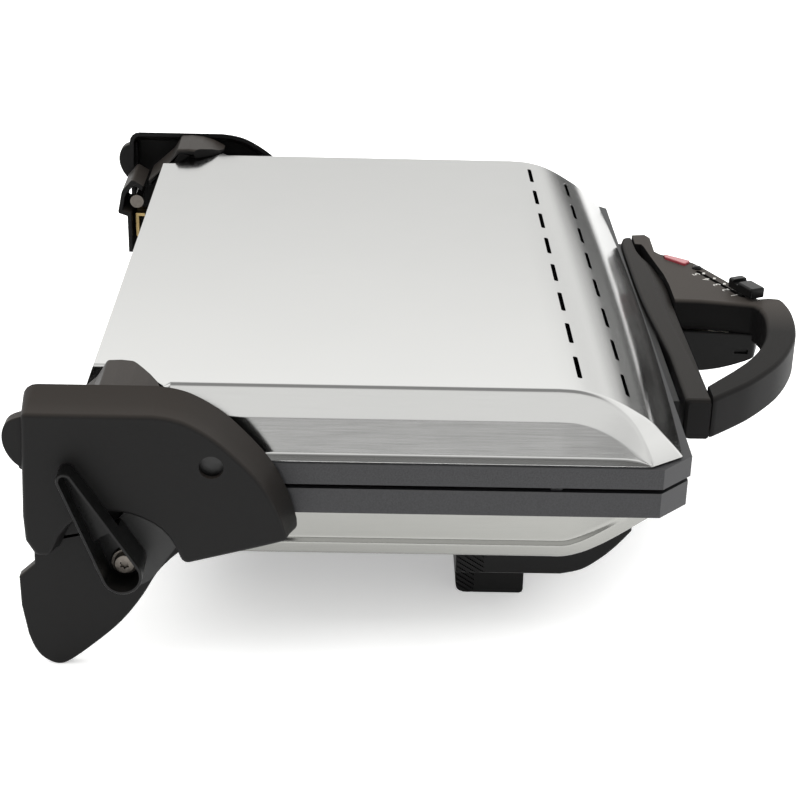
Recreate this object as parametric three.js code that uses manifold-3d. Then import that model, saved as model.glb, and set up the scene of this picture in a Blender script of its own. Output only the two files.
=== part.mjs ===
// Contact grill (panini press), closed. Millimetres, +Z up, the front (handle) faces -Y,
// +X is the user's right. The origin is on the surface it stands on, under its centre.
import * as THREE from 'three';
import { mergeVertices } from 'three/addons/utils/BufferGeometryUtils.js';
import Module from 'manifold-3d';

// ---- driving dimensions -------------------------------------------------------------------
const GAP = 0.3; // clearance kept between touching pieces

const RIM_WIDTH = 364; // cast grill plates, left to right
const RIM_DEPTH = 274; // cast grill plates, front to back
const CORNER_CUT = 14; // chamfer of the front corners
const RIM_WALL = 13;
const LOWER_RIM = { bottom: 74, top: 85.9, rearChamfer: 4.5 }; // the opening lid swings past the chamfer
const UPPER_RIM = { bottom: 88.3, top: 98 };
const SPACER = { x: 177, y: [-77, 60], size: 5 }; // pads between the two rims
const PLATE_FLOOR = 5; // thickness of the cast floor behind the ribs
const RIB = { pitch: 17, width: 5, height: 3.4, count: 19 };

const LID_TOP = 127.7;
const LID_SHEET = 1.5; // steel sheet with its turned edge
const LID_FRONT_BEND = -80; // where the flat top starts to curve down
const SLOT = { pitch: 39.6, length: 24.7, count: 8 };

const HOUSING_BOTTOM = 47;
const HOUSING_REAR = 130;
const GLAND = { x: 60, z: 62, hole: 5 };
const SOLE = 21; // underside of the front stand

const HINGE = { y: 109, z: 57.5 }; // main hinge axis of the arms, along X
const PIVOT = { y: 71, z: 105 }; // lid pivot axis on the arms, along X

const ARM_FACE = 200; // outer face of the arm covers, from the centre
const ARM_ROOT = 184.3; // inner edge of the arm covers
const STAND_OUTER = 190; // outer face of the rear stands
const SWEEP = 68; // what is closer to the hinge than this clears the rear stand
const LEVER_FACE = 211;

const HANDLE = { half: 112, rear: -140.6, front: -154, bottom: 80, top: 100 };
const PANEL = { top: 101, seam: 84.8, bottom: 66, skin: 2.6 };
const SCALE_ANGLE = THREE.MathUtils.degToRad(26); // the slider edge, seen from above
const SCALE_START = { x: 14.3, y: -202.2 };
const SCALE_FIRST = 11; // middle of the slider at its lowest setting, along the slider edge
const SLIDER_TRAVEL = 35;
const READY_LENS = { x: 59.6, y: -174.6 };

const SIDES = { left: -1, right: 1 };
const MIDDLE = -29; // middle of the whole depth, from the middle of the grill plates

// ---- helpers ------------------------------------------------------------------------------
const wasm = await Module();
wasm.setup();

const group = new THREE.Group();

const LOOKS = {
  steel: { color: 0xc9cacc, roughness: 0.32, metalness: 1.0 },
  cast: { color: 0x48484c, roughness: 0.55, metalness: 0.6 },
  plastic: { color: 0x3b3734, roughness: 0.6, metalness: 0.0 },
  black: { color: 0x141413, roughness: 0.6, metalness: 0.0 },
  zinc: { color: 0xa8a8a6, roughness: 0.4, metalness: 1.0 },
  passivated: { color: 0xa08a58, roughness: 0.45, metalness: 0.9 },
  element: { color: 0x55504c, roughness: 0.5, metalness: 0.8 },
  lens: { color: 0x96323a, roughness: 0.2, metalness: 0.0 },
  ceramic: { color: 0xe4dfd4, roughness: 0.7, metalness: 0.0 },
};

function addPart(name, look, geometry, at = [0, 0, 0]) {
  const mesh = new THREE.Mesh(geometry, new THREE.MeshStandardMaterial(LOOKS[look]));
  mesh.name = name;
  mesh.position.set(...at);
  group.add(mesh);
  return mesh;
}

function toSolid(geometry) {
  const bare = geometry.clone();
  bare.deleteAttribute('normal');
  bare.deleteAttribute('uv');
  const merged = mergeVertices(bare, 1e-4);
  return new wasm.Manifold(new wasm.Mesh({
    numProp: 3,
    vertProperties: new Float32Array(merged.attributes.position.array),
    triVerts: new Uint32Array(merged.index.array),
  }));
}

function toGeometry(solid) {
  const mesh = solid.getMesh();
  const geometry = new THREE.BufferGeometry();
  geometry.setAttribute('position', new THREE.BufferAttribute(mesh.vertProperties, 3));
  geometry.setIndex(new THREE.BufferAttribute(mesh.triVerts, 1));
  return geometry;
}

function combine(first, { add = [], cut = [], keep = [] }) {
  let solid = toSolid(first);
  for (const other of add) solid = solid.add(toSolid(other));
  for (const other of keep) solid = solid.intersect(toSolid(other));
  for (const other of cut) solid = solid.subtract(toSolid(other));
  return toGeometry(solid);
}

// A box given by its lowest and highest corner.
function box(low, high) {
  const size = high.map((value, axis) => value - low[axis]);
  const centre = high.map((value, axis) => (value + low[axis]) / 2);
  return new THREE.BoxGeometry(...size).translate(...centre);
}

// An outline in Y and Z, extruded along X. A negative inset shrinks the outline.
function slabX(shape, from, to, options = {}) {
  const low = Math.min(from, to);
  const depth = Math.abs(to - from);
  const settings = { depth, bevelEnabled: false, curveSegments: 8, ...options };
  const geometry = new THREE.ExtrudeGeometry(shape, settings);
  const axes = new THREE.Matrix4().makeBasis(
    new THREE.Vector3(0, 1, 0),
    new THREE.Vector3(0, 0, 1),
    new THREE.Vector3(1, 0, 0),
  );
  return geometry.applyMatrix4(axes).translate(low, 0, 0);
}

// An outline in X and Z, extruded along Y.
function slabY(shape, from, to) {
  const depth = Math.abs(to - from);
  const geometry = new THREE.ExtrudeGeometry(shape, { depth, bevelEnabled: false, curveSegments: 8 });
  const axes = new THREE.Matrix4().makeBasis(
    new THREE.Vector3(1, 0, 0),
    new THREE.Vector3(0, 0, 1),
    new THREE.Vector3(0, -1, 0),
  );
  return geometry.applyMatrix4(axes).translate(0, Math.max(from, to), 0);
}

// An outline in X and Y, extruded along Z.
function slabZ(shape, from, to, options = {}) {
  const settings = { depth: to - from, bevelEnabled: false, curveSegments: 8, ...options };
  return new THREE.ExtrudeGeometry(shape, settings).translate(0, 0, from);
}

function polygon(points) {
  return new THREE.Shape(points.map(([a, b]) => new THREE.Vector2(a, b)));
}

function roundRod(radius, from, to, y, z, sides = 20) {
  const length = Math.abs(to - from);
  return new THREE.CylinderGeometry(radius, radius, length, sides)
    .rotateZ(Math.PI / 2)
    .translate((from + to) / 2, y, z);
}

function tube(points, radius, steps, sides = 8) {
  const section = new THREE.Shape();
  section.absarc(0, 0, radius, 0, Math.PI * 2);
  const path = new THREE.CatmullRomCurve3(points.map((p) => new THREE.Vector3(...p)), false, 'centripetal');
  const settings = { steps, extrudePath: path, curveSegments: sides, bevelEnabled: false };
  return new THREE.ExtrudeGeometry(section, settings);
}

// ---- cast grill plates --------------------------------------------------------------------
function rimOutline(inset = 0) {
  const x = RIM_WIDTH / 2 - inset;
  const y = RIM_DEPTH / 2 - inset;
  const cut = CORNER_CUT - inset * 0.6;
  return polygon([
    [-x + cut, -y], [x - cut, -y], [x, -y + cut], [x, y - 3], [x - 3, y],
    [-x + 3, y], [-x, y - 3], [-x, -y + cut],
  ]);
}

function ribBars(from, to) {
  const bars = [];
  const reach = RIM_DEPTH / 2 - RIM_WALL - 8;
  for (let i = 0; i < RIB.count; i += 1) {
    const x = (i - (RIB.count - 1) / 2) * RIB.pitch;
    bars.push(box([x - RIB.width / 2, -reach, from], [x + RIB.width / 2, reach, to]));
  }
  return bars;
}

function lowerPlate() {
  const { bottom, top } = LOWER_RIM;
  const floor = bottom + PLATE_FLOOR;
  const rear = RIM_DEPTH / 2;
  const chamfer = polygon([
    [rear - LOWER_RIM.rearChamfer - 1, top + 0.2],
    [rear, top - LOWER_RIM.rearChamfer - 0.8],
    [rear, top + 0.2],
  ]);
  return combine(slabZ(rimOutline(0.8), bottom, top), {
    cut: [slabZ(rimOutline(RIM_WALL), floor, top + 5), slabX(chamfer, -RIM_WIDTH, RIM_WIDTH)],
    add: [...ribBars(floor - 1, floor + RIB.height), ...spacers()],
  });
}

// Pads on the lower rim that the closed upper plate rests on.
function spacers() {
  const half = SPACER.size / 2;
  return [-SPACER.x, SPACER.x].flatMap((x) => SPACER.y.map((y) => (
    box([x - half, y - half, LOWER_RIM.top - 1], [x + half, y + half, UPPER_RIM.bottom - GAP])
  )));
}

function upperPlate() {
  const { bottom, top } = UPPER_RIM;
  const ceiling = top - PLATE_FLOOR + 1;
  return combine(slabZ(rimOutline(), bottom, top), {
    cut: [slabZ(rimOutline(RIM_WALL), bottom - 5, ceiling)],
    add: ribBars(ceiling - RIB.height, ceiling + 1),
  });
}

// ---- stainless covers ---------------------------------------------------------------------
// Side view of the lid: flat top, front curving down to the rim, rounded rear edge.
function lidSideView(inset = 0) {
  const shape = new THREE.Shape();
  const base = UPPER_RIM.top + GAP;
  const top = LID_TOP - inset;
  shape.moveTo(-132 + inset * 1.4, base - inset);
  shape.lineTo(-130 + inset * 1.4, base + 2);
  shape.bezierCurveTo(-121 + inset, 112, -106 + inset * 0.6, top, LID_FRONT_BEND, top);
  shape.lineTo(121, top);
  shape.quadraticCurveTo(126.6 - inset, top, 128.4 - inset, top - 4.5);
  shape.lineTo(136.5 - inset * 1.3, base - inset);
  return shape;
}

// Front view of the lid: flat top, a bevel, and a steeper side wall down to the rim.
function lidFrontView(inset = 0) {
  const base = UPPER_RIM.top + GAP;
  const half = [[180, base - inset], [178.5, base + 1.5], [173.5, 113.8], [165.5, LID_TOP - inset]];
  const right = half.map(([x, z]) => [x - inset, z]);
  const left = right.map(([x, z]) => [-x, z]).reverse();
  return polygon([...right, ...left]);
}

// Cuts the front corner along the sloping facet that rises from the chamfer of the rim.
function lidCornerCut(side, inset = 0) {
  const size = 80;
  const normal = new THREE.Vector3(side * 0.438, -0.495, 0.749);
  const turn = new THREE.Quaternion().setFromUnitVectors(new THREE.Vector3(0, 0, 1), normal);
  const place = new THREE.Vector3(side * 173, -126, 99.6).addScaledVector(normal, size / 2 - inset);
  const cutter = new THREE.BoxGeometry(size * 2, size * 2, size);
  return cutter.applyQuaternion(turn).translate(place.x, place.y, place.z);
}

// Rear corners are notched for the arm covers.
function lidRearNotch(side) {
  const outline = polygon([[142, 140], [146, 118], [152, 106], [165, 95], [190, 86], [190, 140]]
    .map(([x, y]) => [side * x, y]));
  return slabZ(outline, 112, LID_TOP + 5);
}

function lidSolid(inset) {
  return combine(slabX(lidSideView(inset), -182, 182), {
    keep: [slabY(lidFrontView(inset), -140, 140)],
    cut: [lidCornerCut(-1, inset), lidCornerCut(1, inset)],
  });
}

function slotCutters() {
  const rows = [{ y: -87.5, width: 2.6 }, { y: -108.5, width: 2.6 }];
  const cutters = [];
  for (const row of rows) {
    for (let i = 0; i < SLOT.count; i += 1) {
      const x = (i - (SLOT.count - 1) / 2) * SLOT.pitch;
      cutters.push(box(
        [x - SLOT.length / 2, row.y - row.width / 2, 105],
        [x + SLOT.length / 2, row.y + row.width / 2, LID_TOP + 5],
      ));
    }
  }
  return cutters;
}

function lidCover() {
  const bores = Object.values(SIDES)
    .map((side) => roundRod(7, side * 165, side * 185, PIVOT.y, PIVOT.z, 16));
  return combine(lidSolid(0), {
    cut: [lidSolid(LID_SHEET), lidRearNotch(-1), lidRearNotch(1), ...slotCutters(), ...bores],
  });
}

// Side view of the lower housing: the front rises in a curve to the rim.
function housingSideView(inset = 0) {
  const shape = new THREE.Shape();
  const top = LOWER_RIM.bottom - GAP + inset;
  const low = HOUSING_BOTTOM + inset;
  const rear = HOUSING_REAR - inset;
  shape.moveTo(rear, top);
  shape.lineTo(-128.5 + inset * 1.5, top);
  shape.lineTo(-104 + inset * 0.6, 55 + inset);
  shape.quadraticCurveTo(-93, low + 0.5, LID_FRONT_BEND, low);
  shape.lineTo(122, low);
  shape.quadraticCurveTo(rear, low, rear, low + 8);
  return shape;
}

function housingFrontView(inset = 0) {
  const top = LOWER_RIM.bottom - GAP + inset;
  const half = [[166, HOUSING_BOTTOM + inset], [173, 53.5], [174, 56.5], [175, top]];
  const right = half.map(([x, z]) => [x - inset, z]);
  const left = right.map(([x, z]) => [-x, z]).reverse();
  return polygon([...right, ...left]);
}

function housingSolid(inset) {
  return combine(slabX(housingSideView(inset), -180, 180), {
    keep: [slabY(housingFrontView(inset), -140, 140)],
  });
}

function lowerHousing() {
  const shaftHoles = Object.values(SIDES)
    .map((side) => roundRod(6.5, side * 165, side * 180, HINGE.y, HINGE.z, 16));
  return combine(housingSolid(0), {
    cut: [
      housingSolid(LID_SHEET),
      box([-120, -72, 40], [120, 104, 60]),
      new THREE.CylinderGeometry(GLAND.hole, GLAND.hole, 10, 20).translate(GLAND.x, HOUSING_REAR, GLAND.z),
      ...shaftHoles,
    ],
  });
}

// Bushing in the rear wall where the mains lead leaves, with its bore open at both ends.
function cordGland() {
  const profile = [
    [3, -5], [GLAND.hole - GAP, -5], [GLAND.hole - GAP, GAP], [7, GAP], [7, 3], [5.2, 8], [3, 8], [3, -5],
  ];
  return new THREE.LatheGeometry(profile.map(([r, y]) => new THREE.Vector2(r, y)), 20)
    .translate(GLAND.x, HOUSING_REAR, GLAND.z);
}

// ---- base underside and feet --------------------------------------------------------------
function bottomCover() {
  const outer = polygon([
    [-127.5, 46.6], [-127.5, 34], [-121, 28], [121, 28], [127.5, 34], [127.5, 46.6],
  ]);
  const inner = polygon([[-124.5, 50], [-124.5, 35.5], [-119.5, 31], [119.5, 31], [124.5, 35.5], [124.5, 50]]);
  return combine(slabY(outer, -36.4, 111.5), { cut: [slabY(inner, -33.4, 108.5)] });
}

function frontStand() {
  const shape = new THREE.Shape();
  shape.moveTo(-36.8, 46.6);
  shape.lineTo(-36.8, SOLE);
  shape.lineTo(-86, SOLE);
  shape.bezierCurveTo(-98, SOLE + 1.5, -108, 31, -118, 44);
  shape.lineTo(-118, 64.6);
  shape.lineTo(-104.4, 54.4);
  shape.quadraticCurveTo(-93, HOUSING_BOTTOM - 0.4, LID_FRONT_BEND, HOUSING_BOTTOM - 0.4);
  return combine(slabX(shape, -140, 140), { cut: [box([-136, -82, SOLE + 3.5], [136, -40, 60])] });
}

function frontFoot(side) {
  const shape = new THREE.Shape();
  shape.moveTo(-37.5, SOLE - GAP);
  shape.lineTo(-38, 6);
  shape.quadraticCurveTo(-38.4, 0, -42, 0);
  shape.lineTo(-69, 0);
  shape.quadraticCurveTo(-70.8, 0, -70.8, 2);
  shape.lineTo(-70.8, 12);
  shape.quadraticCurveTo(-70.8, SOLE - GAP, -78, SOLE - GAP);
  return slabX(shape, side * 84, side * 122);
}

function rearStandOutline() {
  const shape = new THREE.Shape();
  shape.moveTo(156.6, 44.3);
  shape.bezierCurveTo(157.5, 28, 154, 0, 141.6, 0);
  shape.bezierCurveTo(134, 0, 104, 26, 92, 58);
  shape.absarc(HINGE.y, HINGE.z, 17.5, Math.PI, 0.5, true);
  shape.lineTo(149.2, 62);
  shape.lineTo(149.7, 50.7);
  return shape;
}

function rearStand(side) {
  const boss = roundRod(15, side * 175.6, side * (ARM_ROOT + 1), HINGE.y, HINGE.z, 24);
  return combine(slabX(rearStandOutline(), side * ARM_ROOT, side * STAND_OUTER), {
    add: [boss],
    cut: [roundRod(5.3, side * 170, side * 195, HINGE.y, HINGE.z)],
  });
}

// ---- hinge hardware -----------------------------------------------------------------------
function hingeShaft(side) {
  return combine(roundRod(5, side * 146, side * 193.9, HINGE.y, HINGE.z), {
    cut: [roundRod(2.7, side * 185, side * 200, HINGE.y, HINGE.z, 12)],
  });
}

function shaftWasher(side) {
  return combine(roundRod(6, side * 196.5, side * 197.8, HINGE.y, HINGE.z, 24), {
    cut: [roundRod(2.8, side * 196, side * 199, HINGE.y, HINGE.z, 12)],
  });
}

function shaftScrew(side) {
  const shank = roundRod(2.4, side * 187, side * 199, HINGE.y, HINGE.z, 12);
  const head = roundRod(4.6, side * 198.1, side * 200.6, HINGE.y, HINGE.z, 18);
  const socket = roundRod(2, side * 199.4, side * 202, HINGE.y, HINGE.z, 6);
  return combine(shank, { add: [head], cut: [socket] });
}

function shaftBracket(side) {
  const shape = new THREE.Shape();
  shape.moveTo(94, 49);
  shape.lineTo(124, 49);
  shape.lineTo(124, 60);
  shape.absarc(HINGE.y, HINGE.z + 3, 11, 0, Math.PI);
  shape.lineTo(94, 60);
  const foot = box([side > 0 ? 136 : -151.6, 94, 49], [side > 0 ? 151.6 : -136, 124, 51.5]);
  return combine(slabX(shape, side * 149.2, side * 151.6), {
    add: [foot],
    cut: [roundRod(5.3, side * 145, side * 155, HINGE.y, HINGE.z)],
  });
}

function counterSpring(side) {
  const turns = 4.5;
  const coilRadius = 6.4;
  const wire = 1;
  const points = [];
  for (let i = 0; i <= turns * 10; i += 1) {
    const angle = (i / 10) * Math.PI * 2;
    points.push([
      side * (154.2 + (i / (turns * 10)) * 10.8),
      HINGE.y + coilRadius * Math.cos(angle),
      HINGE.z + coilRadius * Math.sin(angle),
    ]);
  }
  return tube(points, wire, points.length - 1, 3);
}

function steelArm(side) {
  const direction = Math.atan2(PIVOT.z - HINGE.z, PIVOT.y - HINGE.y);
  const shape = new THREE.Shape();
  shape.absarc(HINGE.y, HINGE.z, 15, direction + Math.PI / 2, direction - Math.PI / 2);
  shape.absarc(PIVOT.y, PIVOT.z, 10, direction - Math.PI / 2, direction + Math.PI / 2);
  return combine(slabX(shape, side * 190.6, side * 193.6), {
    cut: [
      roundRod(5.3, side * 188, side * 196, HINGE.y, HINGE.z),
      roundRod(4.2, side * 188, side * 196, PIVOT.y, PIVOT.z),
    ],
  });
}

function pivotBolt(side) {
  const shank = roundRod(4, side * 164, side * 194.5, PIVOT.y, PIVOT.z);
  const head = roundRod(6.6, side * 193.9, side * 197, PIVOT.y, PIVOT.z, 6);
  return combine(shank, { add: [head] });
}

function pivotBracket(side) {
  const shape = new THREE.Shape();
  shape.moveTo(52, UPPER_RIM.top + GAP);
  shape.lineTo(90, UPPER_RIM.top + GAP);
  shape.lineTo(90, 104);
  shape.absarc(PIVOT.y, PIVOT.z, 11, 0.3, Math.PI - 0.3);
  shape.lineTo(52, 104);
  const low = UPPER_RIM.top + GAP;
  const foot = box([side > 0 ? 154 : -170, 52, low], [side > 0 ? 170 : -154, 90, low + 2.5]);
  return combine(slabX(shape, side * 167.5, side * 170), {
    add: [foot],
    cut: [roundRod(4.3, side * 160, side * 175, PIVOT.y, PIVOT.z)],
  });
}

// ---- arm covers ---------------------------------------------------------------------------
function armOutline() {
  const shape = new THREE.Shape();
  shape.moveTo(149, 128);
  shape.lineTo(95, 128);
  shape.bezierCurveTo(70, 128, 43, 95, 39.6, 71.5);
  shape.lineTo(85, 58.6);
  shape.lineTo(100, 68);
  shape.lineTo(126, 74.2);
  shape.quadraticCurveTo(135, 74.5, 138, 66);
  shape.quadraticCurveTo(144.5, 58.5, 150.5, 70);
  return shape;
}

function armCover(side) {
  const bevel = { bevelEnabled: true, bevelThickness: 7, bevelSize: 4.5, bevelOffset: 0, bevelSegments: 2 };
  const hollow = { ...bevel, bevelOffset: -2.4 };
  const inner = side * (ARM_ROOT - 12);
  const outerSolid = slabX(armOutline(), inner, side * (ARM_FACE - 7), bevel);
  const innerSolid = slabX(armOutline(), inner, side * (ARM_FACE - 9.4), hollow);
  return combine(outerSolid, {
    cut: [
      innerSolid,
      box([side > 0 ? 150 : -ARM_ROOT, 0, 0], [side > 0 ? ARM_ROOT : -150, 200, 200]),
      roundRod(SWEEP, side * 180, side * 190.6, HINGE.y, HINGE.z, 48),
      roundRod(24, side * 180, side * 205, HINGE.y, HINGE.z, 32),
      roundRod(5.3, side * 195, side * 205, PIVOT.y, PIVOT.z),
    ],
  });
}

// Moulding that closes the notched rear corner of the lid, beside the arm.
function lidCornerCover(side) {
  const roof = new THREE.Shape();
  roof.moveTo(side * 184, 95);
  roof.quadraticCurveTo(side * 172, 105, side * 165, 121);
  roof.lineTo(side * 184, 121);
  const back = polygon([[121.3, 136.5], [118, 136.5], [118, 130], [121, 130], [134.5, 109], [137, 109]]);
  return combine(slabZ(roof, 130, 136.5), { add: [slabX(back, side * 165, side * 184)] });
}

// Rounded housing behind the hinge, open towards the middle, with the rear stop ear.
function armRearBox(side) {
  const outer = new THREE.Shape();
  outer.moveTo(139.4, 111.5);
  outer.lineTo(146, 115.5);
  outer.quadraticCurveTo(155, 106, 155, 95);
  outer.lineTo(149.5, 92.5);
  outer.lineTo(149.5, 70);
  outer.lineTo(147, 70);
  outer.lineTo(147, 94.5);
  outer.lineTo(152, 97);
  outer.quadraticCurveTo(151, 106, 145, 111.5);
  outer.lineTo(140.5, 108.5);
  const ear = new THREE.Shape();
  ear.moveTo(140, 108);
  ear.lineTo(149, 101);
  ear.bezierCurveTo(158, 106, 162, 120, 151, 126);
  ear.lineTo(140, 126);
  return combine(slabX(outer, side * 152, side * 184), {
    add: [slabX(ear, side * 181, side * 183.9)],
  });
}

function rearBoxScrew(side) {
  const shank = roundRod(2.2, side * 158, side * 180.6, 144, 101, 12);
  const head = roundRod(4, side * 155, side * 158.5, 144, 101, 18);
  return combine(shank, { add: [head] });
}

function rearBoxBracket(side) {
  const shape = polygon([
    [140.2, 92], [145.6, 92], [145.6, 78], [144, 76], [142.6, 76], [143.8, 80], [143.8, 90.2], [140.2, 90.2],
  ]);
  return slabX(shape, side * 160, side * 172);
}

function armLever(side) {
  const tip = { y: 131.2, z: 102.2, radius: 3.6 };
  const hubRadius = 8.7;
  const length = Math.hypot(tip.y - HINGE.y, tip.z - HINGE.z);
  const direction = Math.atan2(tip.z - HINGE.z, tip.y - HINGE.y);
  function teardrop(wall) {
    const big = hubRadius - wall;
    const small = tip.radius - wall;
    const lean = Math.acos((big - small) / length);
    const shape = new THREE.Shape();
    shape.absarc(HINGE.y, HINGE.z, big, direction + lean, direction - lean);
    shape.absarc(tip.y, tip.z, small, direction - lean, direction + lean);
    return shape;
  }
  const loop = slabX(teardrop(0), side * 200.6, side * LEVER_FACE);
  const hub = slabX(teardrop(0), side * 194.3, side * 201);
  const hubLimit = roundRod(19, side * 190, side * 202, HINGE.y, HINGE.z, 32);
  const hubPart = combine(hub, { keep: [hubLimit] });
  const hubHollow = combine(slabX(teardrop(1.2), side * 196.2, side * 204), {
    keep: [roundRod(17, side * 190, side * 206, HINGE.y, HINGE.z, 32)],
  });
  return combine(loop, {
    add: [hubPart],
    cut: [
      slabX(teardrop(1.2), side * 202, side * 215),
      hubHollow,
      roundRod(3, side * 190, side * 200, HINGE.y, HINGE.z, 16),
    ],
  });
}

// ---- handle and control panel -------------------------------------------------------------
// The bar that the hand pushes down on, along the front of the lid. Its front edge is
// chamfered, and gives way to a slender gap beside the control panel.
function handleBar() {
  const bevel = { bevelEnabled: true, bevelThickness: 1.5, bevelSize: 1.5, bevelOffset: -1.5, bevelSegments: 2 };
  const { half, rear, front, bottom, top } = HANDLE;
  const outline = polygon([
    [-half, front], [12.7, front], [45, front + 4.5], [74, front + 8.5], [half, front + 8], [half, rear - 3],
    [half - 3, rear], [-half, rear],
  ]);
  const chamfer = polygon([[front - 1, top - 2.5], [front + 4, top + 0.5], [front - 1, top + 0.5]]);
  return combine(slabZ(outline, bottom + 1.5, top - 1.5, bevel), { cut: [slabX(chamfer, -half - 5, 14)] });
}

// Outline of the bow and of the control panel, seen from above.
function bowOutline() {
  const shape = new THREE.Shape();
  const rear = HANDLE.front - GAP;
  shape.moveTo(HANDLE.half, HANDLE.front + 8 - GAP);
  shape.lineTo(HANDLE.half, -152);
  shape.lineTo(109, -154.5);
  shape.lineTo(88, -155);
  shape.lineTo(82.8, -157.7);
  shape.lineTo(69.5, -175);
  shape.lineTo(63, -178.9);
  shape.lineTo(SCALE_START.x, SCALE_START.y);
  shape.lineTo(12, -212);
  shape.bezierCurveTo(-4, -218.5, -18, -216, -52, -204.5);
  shape.bezierCurveTo(-86, -192.5, -114, -182, -HANDLE.half, -165);
  shape.lineTo(-HANDLE.half, rear);
  shape.lineTo(32, rear);
  shape.lineTo(84, -149.8);
  shape.lineTo(96, -148.6);
  shape.lineTo(96.5, HANDLE.front + 8 - GAP);
  return shape;
}

function fingerOpening() {
  const shape = new THREE.Shape();
  shape.moveTo(8, HANDLE.front + 5);
  shape.lineTo(-99, HANDLE.front + 5);
  shape.lineTo(-99, HANDLE.front);
  shape.bezierCurveTo(-86, -172, -45, -197, -12, -197);
  shape.lineTo(4, -197);
  return shape;
}

// Inside of the control panel, drawn in from its walls.
function controlBay(inset) {
  return polygon([
    [10 + inset, -156 - inset], [82 - inset, -156 - inset], [68.5 - inset, -173], [62 - inset, -176.6],
    [16 + inset, -198.4 + inset], [11 + inset, -196 + inset],
  ]);
}

// Bow and panel top, one moulding: the panel is hollow from below.
function handleBow() {
  const bevel = { bevelEnabled: true, bevelThickness: 2, bevelSize: 2, bevelOffset: -2, bevelSegments: 2 };
  const body = slabZ(bowOutline(), HANDLE.bottom + 2, PANEL.top - 2, bevel);
  const reach = [HANDLE.bottom - 10, PANEL.top + 10];
  return combine(body, {
    cut: [
      slabZ(fingerOpening(), ...reach),
      slabZ(controlBay(1.6), HANDLE.bottom - 10, PANEL.top - PANEL.skin),
      slabZ(panelFootprint(), HANDLE.bottom - 10, PANEL.seam + GAP),
      scaleBox(SCALE_FIRST - 3.5, SCALE_FIRST + SLIDER_TRAVEL + 3.5, -8.6, -6.2, ...reach),
      slabZ(lensOutline(0.3), ...reach),
      new THREE.CylinderGeometry(2.9, 2.9, 20, 16).rotateX(Math.PI / 2)
        .translate(READY_LENS.x, READY_LENS.y, PANEL.top),
    ],
  });
}

// Footprint of the lower shell of the control panel.
function panelFootprint(inset = 0) {
  return polygon([
    [7.6 + inset, HANDLE.front - 0.6 - inset], [84.5 - inset * 1.6, HANDLE.front - 0.6 - inset],
    [69 - inset, -175], [63 - inset, -178.4 + inset * 0.5],
    [14.6 + inset, -201.4 + inset], [4 + inset, -196.8 + inset],
  ]);
}

function scalePoint(along, outward, z) {
  const c = Math.cos(SCALE_ANGLE);
  const s = Math.sin(SCALE_ANGLE);
  return [SCALE_START.x + along * c + outward * s, SCALE_START.y + along * s - outward * c, z];
}

// A box lying along the slider edge.
function scaleBox(from, to, inner, outer, low, high) {
  const c = Math.cos(SCALE_ANGLE);
  const s = Math.sin(SCALE_ANGLE);
  const geometry = new THREE.BoxGeometry(to - from, outer - inner, high - low);
  const centre = scalePoint((from + to) / 2, (inner + outer) / 2, (low + high) / 2);
  const turn = new THREE.Matrix4().makeBasis(
    new THREE.Vector3(c, s, 0),
    new THREE.Vector3(-s, c, 0),
    new THREE.Vector3(0, 0, 1),
  );
  return geometry.applyMatrix4(turn).translate(...centre);
}

function panelBottom() {
  const outer = slabZ(panelFootprint(0.4), PANEL.bottom, PANEL.seam);
  const hollow = slabZ(panelFootprint(2.6), PANEL.bottom + 2.2, PANEL.top);
  const belly = polygon([[-140, 50], [-140, 76], [-156, 74], [-176, 66], [-210, 66], [-210, 50]]);
  return combine(outer, { cut: [hollow, slabX(belly, 0, 100)] });
}

function lensOutline(margin) {
  return polygon([
    [78.5 + margin, -159.5 + margin], [68.3 + margin, -172 - margin],
    [63.6 - margin, -168 - margin], [73 - margin, -159.5 + margin],
  ]);
}

function indicatorLens() {
  return slabZ(lensOutline(-0.2), HANDLE.top - 2.4, PANEL.top + 1.6);
}

function readyLens() {
  const dome = new THREE.SphereGeometry(2.6, 16, 8).scale(1, 1, 0.5);
  const stem = new THREE.CylinderGeometry(2.5, 2.5, 5, 16).rotateX(Math.PI / 2).translate(0, 0, -1.6);
  return combine(dome, { add: [stem] }).translate(READY_LENS.x, READY_LENS.y, PANEL.top + 0.2);
}

function sliderKnob() {
  const half = 15;
  const from = SCALE_FIRST - half;
  const to = SCALE_FIRST + half;
  const cap = scaleBox(from, to, -8.4, 0.6, PANEL.top + 2.2, PANEL.top + 7);
  const dish = scaleBox(to - 11, to - 5, -9, 1, PANEL.top + 5.6, PANEL.top + 8);
  const skirt = scaleBox(SCALE_FIRST - 3, SCALE_FIRST + 3, -8.2, -1, PANEL.top + 0.4, PANEL.top + 3);
  const stem = scaleBox(SCALE_FIRST - 2.5, SCALE_FIRST + 2.5, -8.2, -6.6, 92, PANEL.top + 1);
  return combine(cap, { add: [skirt, stem], cut: [dish] });
}

function handleBracket() {
  return box([-108, HANDLE.rear + GAP, 76], [108, -RIM_DEPTH / 2 - GAP, 97]);
}

// ---- heating, control and electrical pieces -----------------------------------------------
function heatingElement(z) {
  return tube([
    [120, 110, z], [120, 40, z], [120, -60, z], [112, -88, z], [90, -98, z], [0, -98, z], [-90, -98, z],
    [-112, -88, z], [-120, -60, z], [-120, 40, z], [-112, 66, z], [-90, 76, z], [60, 76, z], [80, 84, z],
    [86, 110, z],
  ], 3.2, 56, 4);
}

function sheetPlate(z) {
  return box([-140, -62, z], [140, 88, z + 0.8]);
}

function thermostat() {
  return combine(scaleBox(14, 38, -23, -9, 74, 88), {
    add: [scaleBox(18, 30, -17, -11, 87, 90)],
  });
}

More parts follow.
